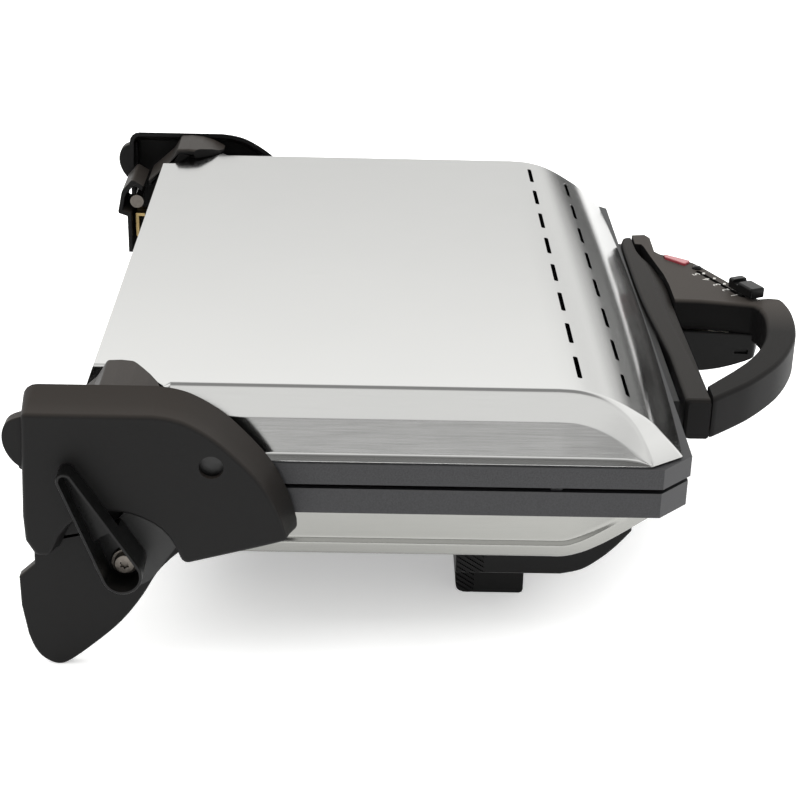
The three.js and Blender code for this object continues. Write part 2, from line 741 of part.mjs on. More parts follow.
// ---- assembly -----------------------------------------------------------------------------
addPart('lower_housing', 'steel', lowerHousing());
addPart('lower_grill_plate', 'cast', lowerPlate());
addPart('bottom_cover', 'black', bottomCover());
addPart('front_stand', 'black', frontStand());
addPart('lower_heating_element', 'element', heatingElement(70.2));
addPart('lower_heat_shield', 'zinc', sheetPlate(60));
addPart('terminal_block', 'ceramic', box([40, 92, 50], [74, 108, 58]));
addPart('cord_gland', 'black', cordGland());

addPart('lid_cover', 'steel', lidCover());
addPart('upper_grill_plate', 'cast', upperPlate());
addPart('upper_heating_element', 'element', heatingElement(UPPER_RIM.top + 3.7));
addPart('upper_heat_shield', 'zinc', sheetPlate(110));
addPart('handle_bar', 'plastic', handleBar());
addPart('handle_bow', 'plastic', handleBow());
addPart('handle_bracket', 'black', handleBracket());
addPart('control_panel_shell', 'plastic', panelBottom());
addPart('indicator_lens', 'lens', indicatorLens());
addPart('ready_lens', 'black', readyLens());
addPart('temperature_slider', 'black', sliderKnob());
addPart('thermostat', 'ceramic', thermostat());
addPart('indicator_lamp', 'lens', new THREE.CylinderGeometry(2.2, 2.2, 12, 12).rotateX(Math.PI / 2)
  .translate(69, -164.5, 86));

for (const [name, side] of Object.entries(SIDES)) {
  addPart(`front_foot_${name}`, 'black', frontFoot(side));
  addPart(`rear_stand_${name}`, 'plastic', rearStand(side));
  addPart(`hinge_shaft_${name}`, 'zinc', hingeShaft(side));
  addPart(`hinge_bracket_${name}`, 'zinc', shaftBracket(side));
  addPart(`hinge_spring_${name}`, 'zinc', counterSpring(side));
  addPart(`hinge_washer_${name}`, 'zinc', shaftWasher(side));
  addPart(`hinge_screw_${name}`, 'zinc', shaftScrew(side));
  addPart(`hinge_lever_${name}`, 'plastic', armLever(side));
  addPart(`steel_arm_${name}`, 'zinc', steelArm(side));
  addPart(`arm_cover_${name}`, 'plastic', armCover(side));
  addPart(`lid_corner_cover_${name}`, 'plastic', lidCornerCover(side));
  addPart(`arm_rear_box_${name}`, 'plastic', armRearBox(side));
  addPart(`rear_box_screw_${name}`, 'zinc', rearBoxScrew(side));
  addPart(`rear_box_bracket_${name}`, 'passivated', rearBoxBracket(side));
  addPart(`lid_pivot_bolt_${name}`, 'zinc', pivotBolt(side));
  addPart(`lid_pivot_bracket_${name}`, 'zinc', pivotBracket(side));
}

group.position.y = -MIDDLE;

export default group;
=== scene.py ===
import math

import bmesh
import bpy
from mathutils import Matrix, Vector


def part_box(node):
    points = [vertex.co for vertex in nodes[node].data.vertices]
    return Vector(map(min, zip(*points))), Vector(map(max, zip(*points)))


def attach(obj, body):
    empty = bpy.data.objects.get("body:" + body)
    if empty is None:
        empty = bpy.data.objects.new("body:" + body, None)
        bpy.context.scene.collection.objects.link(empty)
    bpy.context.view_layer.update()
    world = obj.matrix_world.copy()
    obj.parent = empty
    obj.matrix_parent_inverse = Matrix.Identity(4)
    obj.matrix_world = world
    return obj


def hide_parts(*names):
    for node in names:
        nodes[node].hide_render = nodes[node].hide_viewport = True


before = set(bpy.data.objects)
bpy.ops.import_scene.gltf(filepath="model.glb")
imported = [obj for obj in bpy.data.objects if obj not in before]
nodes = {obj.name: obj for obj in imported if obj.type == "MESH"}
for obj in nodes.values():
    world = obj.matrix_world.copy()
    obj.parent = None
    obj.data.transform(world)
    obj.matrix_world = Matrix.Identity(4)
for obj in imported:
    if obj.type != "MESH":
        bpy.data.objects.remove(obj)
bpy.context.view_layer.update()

scene = bpy.context.scene

# ---- measures, in millimetres from the middle of the grill plates ----
MM = 0.001
plate_low, plate_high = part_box("upper_grill_plate")
MID_Y = (plate_low.y + plate_high.y) / 2
LID_TOP = 127.7
LIP = 98.9  # lowest edge of the lid's sheet
SHEET = 0.8  # thickness of the stainless sheet
HINGE = (109.0, 57.5)  # main hinge axis, as y and z
PIVOT = (71.0, 105.0)  # lid pivot axis, as y and z
ARM_FACE = 201.0  # outer face of the arm covers, from the middle
ARM_ROOT = 184.3  # their inner edge
SCALE_ANGLE = math.radians(26)  # of the edge along which the slider runs
SCALE_START = (14.3, -202.2)
SLIDER_MIDDLE = 9.7  # of the button, along the scale
SLIDER_HALF = 10.5
SIDES = {"left": -1, "right": 1}


def point(x, y, z):
    return Vector((x * MM, y * MM + MID_Y, z * MM))


# ---- mesh helpers ----
WELD = 0.00002  # in metres: points closer than this become one


def add(name, data):
    piece = bpy.data.objects.new(name, data)
    scene.collection.objects.link(piece)
    return piece


def make(name, vertices, faces):
    mesh = bpy.data.meshes.new(name)
    mesh.from_pydata([point(*v) for v in vertices], [], faces)
    bm = bmesh.new()
    bm.from_mesh(mesh)
    bmesh.ops.remove_doubles(bm, verts=bm.verts, dist=WELD)
    bmesh.ops.dissolve_degenerate(bm, edges=bm.edges, dist=WELD)
    bmesh.ops.recalc_face_normals(bm, faces=bm.faces)
    bm.to_mesh(mesh)
    bm.free()
    return add(name, mesh)


def evaluated(piece):
    graph = bpy.context.evaluated_depsgraph_get()
    return bpy.data.meshes.new_from_object(piece.evaluated_get(graph), depsgraph=graph)


def bake(piece):
    """Turns the piece's modifiers into its mesh."""
    mesh = evaluated(piece)
    old = piece.data
    piece.modifiers.clear()
    piece.data = mesh
    bpy.data.meshes.remove(old)
    return piece


def remove(piece):
    mesh = piece.data
    bpy.data.objects.remove(piece)
    bpy.data.meshes.remove(mesh)


def volume(mesh):
    bm = bmesh.new()
    bm.from_mesh(mesh)
    amount = bm.calc_volume()
    bm.free()
    return amount


def boolean(piece, others, operation="DIFFERENCE"):
    """Cuts, joins or intersects, with the first solver whose result has a possible volume."""
    for other in others:
        start = volume(piece.data)
        extra = volume(other.data)
        low, high = {"DIFFERENCE": (start - extra, start), "UNION": (max(start, extra), start + extra),
                     "INTERSECT": (0.02 * min(start, extra), min(start, extra))}[operation]
        kept = piece.data.copy()
        for solver, folds in (("EXACT", False), ("EXACT", True), ("FAST", False)):
            piece.data = kept.copy()
            mod = piece.modifiers.new("boolean", "BOOLEAN")
            mod.operation = operation
            mod.solver = solver
            mod.use_self = folds
            mod.object = other
            bake(piece)
            if 0.99 * low <= volume(piece.data) <= 1.01 * high:
                break
        remove(other)
    return piece


def bevel(piece, width, live=False):
    """Rounds the edges of more than 40 degrees, at once or, if live, by a modifier that stays."""
    mod = piece.modifiers.new("bevel", "BEVEL")
    mod.width = width * MM
    mod.segments = 2
    mod.limit_method = "ANGLE"
    mod.angle_limit = math.radians(40)
    if live:
        mod.harden_normals = True
    else:
        bake(piece)
    return piece


def shade(piece, angle=32):
    """Smooth shading, broken where faces meet at more than the angle."""
    mesh = piece.data
    mesh.shade_smooth()
    mesh.set_sharp_from_angle(angle=math.radians(angle))
    mod = piece.modifiers.new("normals", "WEIGHTED_NORMAL")
    mod.keep_sharp = True
    mod.weight = 80
    bake(piece)
    return piece


def place(along, a, b, axis):
    """A point at a distance along the axis, with a and b as its other two coordinates in order."""
    return {"x": (along, a, b), "y": (a, along, b), "z": (a, b, along)}[axis]


def area(outline):
    total = 0.0
    for (a, b), (c, d) in zip(outline, outline[1:] + outline[:1]):
        total += a * d - b * c
    return total / 2


def offset(outline, distance):
    """The outline moved outwards by distance, with mitred corners."""
    sign = 1 if area(outline) > 0 else -1
    count = len(outline)
    moved = []
    for i in range(count):
        here = Vector(outline[i])
        before = (here - Vector(outline[i - 1])).normalized()
        after = (Vector(outline[(i + 1) % count]) - here).normalized()
        normal_a = Vector((before.y, -before.x)) * sign
        normal_b = Vector((after.y, -after.x)) * sign
        scale = distance / max(0.35, 1 + normal_a.dot(normal_b))
        moved.append(tuple(here + (normal_a + normal_b) * scale))
    return moved


def rounded(corners, steps=5):
    """An outline from corners (a, b, radius), each turned into an arc."""
    outline = []
    count = len(corners)
    for i, (a, b, radius) in enumerate(corners):
        here = Vector((a, b))
        if radius <= 0:
            outline.append((a, b))
            continue
        to_before = Vector(corners[i - 1][:2]) - here
        to_after = Vector(corners[(i + 1) % count][:2]) - here
        half = to_before.angle(to_after) / 2
        reach = min(radius / math.tan(half), 0.49 * to_before.length, 0.49 * to_after.length)
        start = here + to_before.normalized() * reach
        end = here + to_after.normalized() * reach
        for k in range(steps + 1):
            t = k / steps
            # a circular arc as a rational quadratic curve
            w = math.sin(half)
            p = (1 - t) ** 2 * start + 2 * w * t * (1 - t) * here + t ** 2 * end
            outline.append(tuple(p / ((1 - t) ** 2 + 2 * w * t * (1 - t) + t ** 2)))
    return outline


def shape(corners, grow=0.0):
    """A rounded outline from corners (a, b, radius), moved outwards by grow."""
    raw = [(a, b) for a, b, radius in corners]
    sign = 1 if area(raw) > 0 else -1
    moved = offset(raw, grow)
    grown = []
    for i, (a, b, radius) in enumerate(corners):
        before = Vector(raw[i]) - Vector(raw[i - 1])
        after = Vector(raw[(i + 1) % len(raw)]) - Vector(raw[i])
        turn = sign * (before.x * after.y - before.y * after.x)
        if radius > 0:
            radius = max(0.25, radius + (grow if turn > 0 else -grow))
        grown.append((*moved[i], radius))
    return rounded(grown, 4)


def flow(points, steps=6):
    """A smooth curve through the points, in two or three dimensions."""
    points = [Vector(p) for p in points]
    out = []
    for i in range(len(points) - 1):
        p1 = points[i]
        p2 = points[i + 1]
        p0 = points[i - 1] if i > 0 else p1
        p3 = points[i + 2] if i + 2 < len(points) else p2
        for k in range(steps):
            t = k / steps
            out.append(tuple(0.5 * (2 * p1 + (p2 - p0) * t + (2 * p0 - 5 * p1 + 4 * p2 - p3) * t ** 2
                                    + (3 * p1 - p0 - 3 * p2 + p3) * t ** 3)))
    out.append(tuple(points[-1]))
    return out


def circle(centre, radius, steps=32):
    turns = [2 * math.pi * i / steps for i in range(steps)]
    return [(centre[0] + radius * math.cos(turn), centre[1] + radius * math.sin(turn)) for turn in turns]


def quarter(radius, steps):
    """Points of a rounded edge, from the side to the end: how far each is from the end, and how far in."""
    turns = [math.pi / 2 * k / steps for k in range(steps + 1)]
    return [(radius * (1 - math.sin(turn)), radius * (1 - math.cos(turn))) for turn in turns]


def quads(rings, count, across):
    """Faces between rings of count points, across of them from each ring to the next."""
    faces = []
    for r in range(rings - 1):
        for i in range(across):
            j = (i + 1) % count
            faces.append((r * count + i, r * count + j, (r + 1) * count + j, (r + 1) * count + i))
    return faces


def loft(name, rings, axis):
    """A closed solid through rings of (height, outline), all with the same number of points."""
    count = len(rings[0][1])
    vertices = [place(height, a, b, axis) for height, outline in rings for a, b in outline]
    faces = quads(len(rings), count, count)
    faces.append(tuple(range(count)))
    faces.append(tuple(range((len(rings) - 1) * count, len(rings) * count)))
    return make(name, vertices, faces)


def prism(name, outline, low, high, axis, soft_low=0.0, soft_high=0.0):
    """A straight solid, with its end edges rounded by soft_low and soft_high."""
    rings = [(low, outline)]
    if soft_low > 0:
        rings = [(low + away, offset(outline, -inset)) for away, inset in reversed(quarter(soft_low, 3))]
    if soft_high > 0:
        rings += [(high - away, offset(outline, -inset)) for away, inset in quarter(soft_high, 3)]
    else:
        rings.append((high, outline))
    return loft(name, rings, axis)


def flank(name, outline, side, near, far, soft_near=0.0, soft_far=0.0):
    """A straight solid on one side of the object, between two distances from its middle."""
    if side > 0:
        return prism(name, outline, near, far, "x", soft_near, soft_far)
    return prism(name, outline, -far, -near, "x", soft_far, soft_near)


def pin(name, radius, side, near, far, centre, soft=0.0, sides=40):
    return flank(name, circle(centre, radius, sides), side, near, far, soft, soft)


def grid(name, rows):
    """A sheet through rows of points, all with the same number of points, closed over its last row."""
    count = len(rows[0])
    vertices = [p for row in rows for p in row]
    faces = quads(len(rows), count, count - 1)
    faces.append(tuple(range((len(rows) - 1) * count, len(rows) * count)))
    return make(name, vertices, faces)


def as_mesh(piece):
    """A mesh object in the place of a curve or text object."""
    bpy.context.view_layer.update()
    mesh = evaluated(piece)
    mesh.transform(piece.matrix_world)
    name = piece.name
    curve = piece.data
    bpy.data.objects.remove(piece)
    bpy.data.curves.remove(curve)
    return add(name, mesh)


def tube(name, points, radius, sides=12):
    curve = bpy.data.curves.new(name, "CURVE")
    curve.dimensions = "3D"
    curve.bevel_depth = radius * MM
    curve.bevel_resolution = max(1, sides // 4 - 1)
    curve.use_fill_caps = True
    spline = curve.splines.new("POLY")
    spline.points.add(len(points) - 1)
    for slot, p in zip(spline.points, points):
        slot.co = (*point(*p), 1)
    return as_mesh(add(name, curve))


# ---- materials ----
def noise(group, scale, detail):
    node = group.new("ShaderNodeTexNoise")
    node.inputs["Scale"].default_value = scale
    node.inputs["Detail"].default_value = detail
    return node


def two_tone(group, stops):
    """A colour ramp between two (position, colour) stops."""
    ramp = group.new("ShaderNodeValToRGB")
    for element, (position, color) in zip(ramp.color_ramp.elements, stops):
        element.position = position
        element.color = (*color, 1)
    return ramp


def remap(group, limits, low=0.0, high=1.0):
    node = group.new("ShaderNodeMapRange")
    node.inputs["From Min"].default_value, node.inputs["From Max"].default_value = limits
    node.inputs["To Min"].default_value = low
    node.inputs["To Max"].default_value = high
    return node


def surface(name, color, roughness, metallic=0.0, grain=(1, 1, 1), grain_scale=900.0, tone=0.12,
            rough_span=0.08, bump=0.02, bump_distance=0.0001, broad=6.0, broad_tone=0.06, coat=0.0,
            specular=0.5, edge=1.0, painted_top_light=None, painted_light_fade=None):
    """Procedural finish: fine grain in colour, roughness and bump, over a broad slow variation.

    Its last two arguments paint light: the first is a paler colour for faces that look up, a painted
    highlight standing in for light from above; between the two X of the second, in metres, that painted light
    fades in.
    """
    material = bpy.data.materials.new(name)
    material.use_nodes = True
    group = material.node_tree.nodes
    links = material.node_tree.links
    shader = group["Principled BSDF"]
    shader.inputs["Metallic"].default_value = metallic
    shader.inputs["Specular IOR Level"].default_value = specular
    shader.inputs["Specular Tint"].default_value = (edge, edge, edge, 1)
    shader.inputs["Coat Weight"].default_value = coat
    where = group.new("ShaderNodeTexCoord")
    stretch = group.new("ShaderNodeMapping")
    stretch.inputs["Scale"].default_value = grain
    links.new(where.outputs["Object"], stretch.inputs["Vector"])
    fine = noise(group, grain_scale, 4.0)
    fine.inputs["Roughness"].default_value = 0.6
    links.new(stretch.outputs["Vector"], fine.inputs["Vector"])
    slow = noise(group, broad, 3.0)
    links.new(where.outputs["Object"], slow.inputs["Vector"])
    dark = [c * (1 - tone) for c in color]
    light = [min(1.0, c * (1 + tone)) for c in color]
    ramp = two_tone(group, [(0.35, dark), (0.65, light)])
    links.new(fine.outputs["Fac"], ramp.inputs["Fac"])
    drift = two_tone(group, [(0.3, [1 - broad_tone] * 3), (0.7, (1, 1, 1))])
    links.new(slow.outputs["Fac"], drift.inputs["Fac"])
    mix = group.new("ShaderNodeMix")
    mix.data_type = "RGBA"
    mix.blend_type = "MULTIPLY"
    mix.inputs["Factor"].default_value = 1.0
    links.new(ramp.outputs["Color"], mix.inputs["A"])
    links.new(drift.outputs["Color"], mix.inputs["B"])
    tinted = mix.outputs["Result"]
    # Painted highlight: the more a face looks up, the paler its colour, as if lit from above; it can fade in
    # along the object's X.
    if painted_top_light:
        faces = group.new("ShaderNodeSeparateXYZ")
        links.new(where.outputs["Normal"], faces.inputs["Vector"])
        amount = remap(group, (0.15, 0.95))
        links.new(faces.outputs["Z"], amount.inputs["Value"])
        if painted_light_fade:
            across = group.new("ShaderNodeSeparateXYZ")
            links.new(where.outputs["Object"], across.inputs["Vector"])
            reach = remap(group, painted_light_fade, low=0.1)
            links.new(across.outputs["X"], reach.inputs["Value"])
            links.new(reach.outputs["Result"], amount.inputs["To Max"])
        paler = group.new("ShaderNodeMix")
        paler.data_type = "RGBA"
        paler.inputs["B"].default_value = (*painted_top_light, 1)
        links.new(amount.outputs["Result"], paler.inputs["Factor"])
        links.new(tinted, paler.inputs["A"])
        tinted = paler.outputs["Result"]
    links.new(tinted, shader.inputs["Base Color"])
    span = remap(group, (0.3, 0.7), max(0.02, roughness - rough_span), roughness + rough_span)
    links.new(fine.outputs["Fac"], span.inputs["Value"])
    links.new(span.outputs["Result"], shader.inputs["Roughness"])
    if bump > 0:
        relief = group.new("ShaderNodeBump")
        relief.inputs["Strength"].default_value = bump
        relief.inputs["Distance"].default_value = bump_distance
        links.new(fine.outputs["Fac"], relief.inputs["Height"])
        links.new(relief.outputs["Normal"], shader.inputs["Normal"])
    return material


BRUSHED = dict(metallic=1.0, grain=(1, 0.015, 1), grain_scale=2600, rough_span=0.03, bump_distance=0.00001,
               broad=4.0, broad_tone=0.03)
TEXTURED = dict(grain_scale=2200, rough_span=0.05, bump=0.22, bump_distance=0.00012, broad=7.0,
                broad_tone=0.1)
MATERIALS = {
    "steel": surface("brushed_stainless", (0.61, 0.61, 0.605), 0.15, tone=0.015, bump=0.14, edge=0.64,
                     **BRUSHED),
    # Same brushed stainless with a darker base colour: painted shade, for the dim, shadowed floor the
    # housing's sides reflect.
    "steel_low": surface("brushed_stainless_painted_shade", (0.29, 0.29, 0.275), 0.2, tone=0.02, bump=0.3,
                         **BRUSHED),
    # Steel arms and pivot bolts: a near-black base colour.
    "dark_steel": surface("near_black_steel", (0.008, 0.008, 0.008), 0.45, metallic=0.2, grain_scale=600,
                          tone=0.2, bump=0.06, broad=40.0, broad_tone=0.2),
    "dull_steel": surface("worn_steel", (0.15, 0.135, 0.12), 0.36, metallic=1.0, grain_scale=500, tone=0.2,
                          rough_span=0.1, bump=0.06, broad=60.0, broad_tone=0.25),
    "cast": surface("coated_casting", (0.025, 0.025, 0.027), 0.5, metallic=0.35, grain_scale=1400, tone=0.3,
                    bump=0.25, bump_distance=0.00015, broad=9.0, broad_tone=0.08),
    # Dark plastics: faces that look up get a paler colour, painted light from above; on the bow it fades in
    # along X.
    "plastic": surface("textured_dark_plastic", (0.0055, 0.0053, 0.0053), 0.5, specular=0.14,
                       painted_top_light=(0.024, 0.0205, 0.018), **TEXTURED),
    "grip": surface("textured_handle_plastic", (0.006, 0.0058, 0.0058), 0.5, specular=0.09,
                    painted_top_light=(0.012, 0.0105, 0.0095), **TEXTURED),
    "bow": surface("textured_bow_plastic", (0.006, 0.0058, 0.0058), 0.5, specular=0.05,
                   painted_top_light=(0.038, 0.0335, 0.030), painted_light_fade=(-0.03, 0.01), **TEXTURED),
    "black": surface("black_moulding", (0.004, 0.004, 0.004), 0.42, specular=0.13, grain_scale=1800,
                     tone=0.15, rough_span=0.06, bump=0.15, broad=8.0, broad_tone=0.1),
    "gloss": surface("glossy_black_moulding", (0.004, 0.004, 0.004), 0.3, specular=0.18, grain_scale=1200,
                     tone=0.1, rough_span=0.03, bump_distance=0.00005),
    "zinc": surface("zinc_plating", (0.50, 0.50, 0.48), 0.34, metallic=1.0, grain_scale=500, tone=0.1,
                    rough_span=0.1, bump=0.06, broad=40.0, broad_tone=0.15),
    "brass": surface("yellow_passivated_steel", (0.42, 0.31, 0.14), 0.36, metallic=1.0, grain_scale=400,
                     tone=0.2, rough_span=0.1, bump=0.05, broad=60.0, broad_tone=0.25),
    "element": surface("heated_sheath", (0.09, 0.08, 0.075), 0.5, metallic=0.8, grain_scale=700, tone=0.25,
                       rough_span=0.1, bump=0.1, broad=30.0, broad_tone=0.3),
    "lens": surface("red_lens", (0.26, 0.035, 0.045), 0.16, grain_scale=300, tone=0.1, rough_span=0.03,
                    bump=0.01, coat=0.6),
    "ceramic": surface("off_white_ceramic", (0.62, 0.58, 0.50), 0.7, tone=0.06, rough_span=0.05, bump=0.1),
    "print": surface("grey_print", (0.42, 0.41, 0.39), 0.6, grain_scale=1500, tone=0.1, rough_span=0.05,
                     bump=0.05, bump_distance=0.00005),
}


def dress(piece, look):
    piece.data.materials.clear()
    piece.data.materials.append(MATERIALS[look])


def finish(piece, look, body, *replaced):
    """Gives the piece its finish and its body, and hides the CAD nodes it stands for."""
    dress(piece, look)
    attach(piece, body)
    if replaced:
        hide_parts(*replaced)
    return piece


# ---- lid ----
# Creases of one side, from the straight stretch round the front corner down to the lip.
LID_FRONT = [  # between the curved front and the corner facet
    (164.6, -77, LID_TOP), (164.6, -86.3, 127.1), (164.5, -96, 124.8), (164.4, -104.2, 121.2),
    (164.4, -111.5, 117), (164.8, -118.6, 112.4), (165.6, -124.2, 106.8), (167.9, -129.6, 101.6),
    (170.5, -132.4, LIP),
]
LID_FACET = [  # between the corner facet and the recessed side
    (166, -77, 126.7), (166.1, -86, 126.1), (166.6, -94.7, 124.4), (167.9, -101.5, 121.1),
    (169.7, -107, 116.9), (172.3, -111.7, 111.4), (175.5, -115, 105.8), (178.8, -117, 101.4),
    (180.8, -118, LIP),
]
LID_FOLD = [  # inside the recessed side, between its upper band and its wall
    (172, -77, 115.2), (172, -84.5, 114.7), (172.4, -91, 113.2), (173, -97, 110.9), (173.8, -102.5, 107.9),
    (175, -107.4, 104.6), (176.5, -111.3, 101.9), (178.2, -114.2, 100.3), (180.4, -117.4, LIP + 0.2),
]
LID_WALL = [  # foot of the wall, where the lip turns out
    (175.8, -77, 99.4), (175.8, -84.5, 99.4), (175.8, -91, 99.4), (175.9, -97, 99.4), (176, -102.5, 99.4),
    (176.4, -107.4, 99.4), (177.3, -111.3, 99.3), (178.6, -114.4, 99.2), (180.5, -117.6, LIP + 0.1),
]
LID_EDGE = [(181, y, LIP) for y in (-77, -84.5, -91, -97, -102.5, -107.4, -111.5, -115, -118)]
LID_CROWN = 3.8  # how far the middle of the front lip stands out
LID_COLUMNS = 24
LID_RADII = (1.6, 3, 2.6, 2.6)  # at the foot of the wall, the fold, the facet and the front
LID_REAR = 126.6
LID_REAR_SLOPE = 10.4 / 29.3
# Rear corners are drawn in: Y of the station, X of the top edge, spread of the side below it.
LID_NOTCH = [(93.2, 165.5, 1.0), (95.5, 163.5, 0.8), (100, 158.3, 0.5), (106, 151.2, 0.42), (110, 148.6, 0.4),
             (121, 145.2, 0.4)]
SLOT_ROWS = [(-87.5, 118, 2.2), (-109.3, 108, 1.9)]  # Y, height from which they are cut, width
SLOT_COUNT = 8
SLOT_PITCH = 39.7
SLOT_HALF = 12


def soften(points, radii):
    """A three-dimensional path with its inner corners turned into arcs."""
    steps = 3
    points = [Vector(p) for p in points]
    out = [tuple(points[0])]
    for before, here, after, radius in zip(points, points[1:], points[2:], radii):
        back = before - here
        ahead = after - here
        turn = (math.pi - back.angle(ahead)) if min(back.length, ahead.length) > 1e-6 else 0
        reach = min(radius * math.tan(turn / 2), 0.48 * back.length, 0.48 * ahead.length)
        start = here + back.normalized() * reach
        end = here + ahead.normalized() * reach
        for k in range(steps + 1):
            t = k / steps
            out.append(tuple((1 - t) ** 2 * start + 2 * t * (1 - t) * here + t ** 2 * end))
    return out


def lid_row(front, facet, fold, wall, edge, crown, radii):
    """One row of a sheet, from its edge on the left over the middle to its edge on the right."""
    centre = (front[0] - 6, front[1], front[2])
    side = soften([edge, wall, fold, facet, front, centre], radii)
    left = [(-x, y, z) for x, y, z in side]
    middle = []
    reach = side[-1][0]
    for i in range(1, LID_COLUMNS):
        share = 2 * i / LID_COLUMNS - 1
        middle.append((reach * share, front[1] - crown * (1 - share ** 2), front[2]))
    return left + middle + side[::-1]


def notched(x, z, edge, spread, y):
    """A point of the straight section moved to a station with its top edge drawn in."""
    full = LID_FRONT[0][0] - 3
    if abs(x) <= full:
        return (x * edge / full, y, z)
    return (math.copysign(edge + (abs(x) - full) * spread, x), y, z)


def corner_rows(paths, crown, radii):
    """Rows of a sheet round the front corners, from the lip back to the straight stretch."""
    paths = [flow(path, 4) for path in paths]
    last = len(paths[0]) - 1
    return [lid_row(*[path[i] for path in paths], crown * (i / last) ** 1.5, radii)
            for i in range(last, -1, -1)]


def thicken(piece):
    mod = piece.modifiers.new("thickness", "SOLIDIFY")
    mod.thickness = SHEET * MM
    mod.offset = -1
    return bake(piece)


def lid_shell():
    rows = corner_rows((LID_FRONT, LID_FACET, LID_FOLD, LID_WALL, LID_EDGE), LID_CROWN, LID_RADII)
    straight = rows[-1]
    for y in (-40, 0, 40, 91):
        rows.append([(p[0], y, p[2]) for p in straight])
    for y, edge, spread in LID_NOTCH:
        rows.append([notched(x, z, edge, spread, y) for x, _, z in straight])
    _, edge, spread = LID_NOTCH[-1]
    rows.append([notched(x, z, edge, spread, LID_REAR + (LID_TOP - z) * LID_REAR_SLOPE)
                 for x, _, z in straight])
    piece = thicken(grid("lid_sheet", rows))
    cutters = []
    for y, z_low, width in SLOT_ROWS:
        for i in range(SLOT_COUNT):
            x = (i - (SLOT_COUNT - 1) / 2) * SLOT_PITCH
            left, right = x - SLOT_HALF, x + SLOT_HALF
            front, back = y - width / 2, y + width / 2
            outline = rounded([(left, front, 1), (right, front, 1), (right, back, 1), (left, back, 1)], 3)
            cutters.append(prism("slot", outline, z_low, LID_TOP + 6, "z"))
    cutters += [pin("bore", 7, side, 166, 190, PIVOT) for side in SIDES.values()]
    boolean(piece, cutters)
    return shade(piece, 34)


finish(lid_shell(), "steel", "lid", "lid_cover")


# ---- lower housing ----
HOUSE_FRONT = [
    (166, -77, 46.8), (166, -84, 47.0), (166, -92, 49.2), (166, -99.5, 52.8), (166, -106.5, 57.2),
    (166.2, -113, 61.8), (166.8, -119, 66.4), (167.4, -123.8, 70.2), (168, -127.5, 73.5),
]
HOUSE_UNDER = [
    (171.6, -77, 48.4), (171.6, -83.5, 48.6), (171.6, -91, 50.8), (171.6, -98, 54.2), (171.6, -104.5, 58.2),
    (171.9, -110.5, 62.5), (172.4, -116, 66.7), (173.2, -120, 70.2), (174, -123, 73.5),
]
HOUSE_RIDGE = [
    (173.6, -77, 54.9), (173.6, -83.4, 55.1), (173.6, -89.5, 57.1), (173.6, -95.3, 60.1), (173.7, -101, 63.6),
    (174, -106, 67.1), (174.4, -109.6, 69.9), (174.9, -112.3, 72), (175.4, -114.2, 73.5),
]
HOUSE_FOLD = [
    (172.1, -77, 57), (172.1, -82.8, 57.2), (172.1, -88, 59), (172.2, -93.5, 61.9), (172.5, -99, 65.4),
    (173, -104, 68.9), (173.7, -107.6, 71.4), (174.4, -110.2, 72.9), (175.3, -112.6, 73.6),
]
HOUSE_TOP = [(175.5, y, 73.7) for y in (-77, -82.8, -88, -93.5, -99, -104, -107.6, -110.2, -112.8)]
HOUSE_RADII = (2, 1.4, 3, 3)
HOUSE_CROWN = 1.5
HOUSE_REAR = 130.0
HOUSE_MOUTH = [(-120, -72), (120, -72), (120, 104), (-120, 104)]  # opening over the bottom cover


def house_shell():
    paths = (HOUSE_FRONT, HOUSE_UNDER, HOUSE_RIDGE, HOUSE_FOLD, HOUSE_TOP)
    rows = corner_rows(paths, HOUSE_CROWN, HOUSE_RADII)
    straight = rows[-1]
    for y in (-40, 0, 40, 80, 110):
        rows.append([(p[0], y, p[2]) for p in straight])
    rows.append([(x, HOUSE_REAR - 0.1 * max(0, 60 - z), z) for x, y, z in straight])
    piece = thicken(grid("housing_sheet", rows))
    cutters = [prism("mouth", HOUSE_MOUTH, 40, 60, "z"),
               prism("gland_hole", circle((60, 62), 5, 40), HOUSE_REAR - 8, HOUSE_REAR + 8, "y")]
    cutters += [pin("bore", 6.5, side, 160, 185, HINGE) for side in SIDES.values()]
    boolean(piece, cutters)
    return shade(piece, 34)


# The housing takes the darker copy of the stainless; its darkness is painted shade.
finish(house_shell(), "steel_low", "base", "lower_housing")


# ---- arm covers ----
def round_hinge(degrees, radius):
    turn = math.radians(degrees)
    return (HINGE[0] + radius * math.cos(turn), HINGE[1] + radius * math.sin(turn))


ARM_CURVE = [(95.1, 128.1), (87.5, 127), (80, 124.3), (68.5, 116.7), (55.5, 103.8), (48, 93.6), (42.6, 81.6),
             (40, 72.2)]
# Opening over the hinge: degrees round the hinge axis and radius.
ARM_ARCH = [(158, 24), (146, 24), (134, 24), (122, 24), (110, 24.2), (98, 24.8), (86, 25.6), (74, 26.8),
            (62, 28), (50, 29.2), (38, 30), (26, 30.6), (17, 30.9)]
ARM_CORNERS = [(149, 128.1, 2)] + [(y, z, 0) for y, z in flow(ARM_CURVE, 5)]
ARM_CORNERS += [(39.9, 70.4, 1), (51.7, 67, 0), (83.6, 58.4, 3)]
ARM_CORNERS += [(*round_hinge(degrees, radius), 0) for degrees, radius in ARM_ARCH]
ARM_CORNERS += [(140.8, 61.6, 2.5), (146.4, 61.4, 3), (150.4, 68.5, 3), (150.9, 80, 0)]
ARM_EAR = [(147, 100.5), (152, 102.5), (156, 107), (158.3, 113), (158, 119), (155, 123.6), (147, 126.5)]
ARM_EDGE = 2.0  # rounding of the outer face
ARM_SWEEP = 68  # cleared round the hinge behind the face, for the rear stand and the housing
ARM_NOTCH = 23  # cleared round the hinge through the face, for the lever
INNER_SIDE = [(0, 0), (220, 0), (220, 200), (0, 200)]


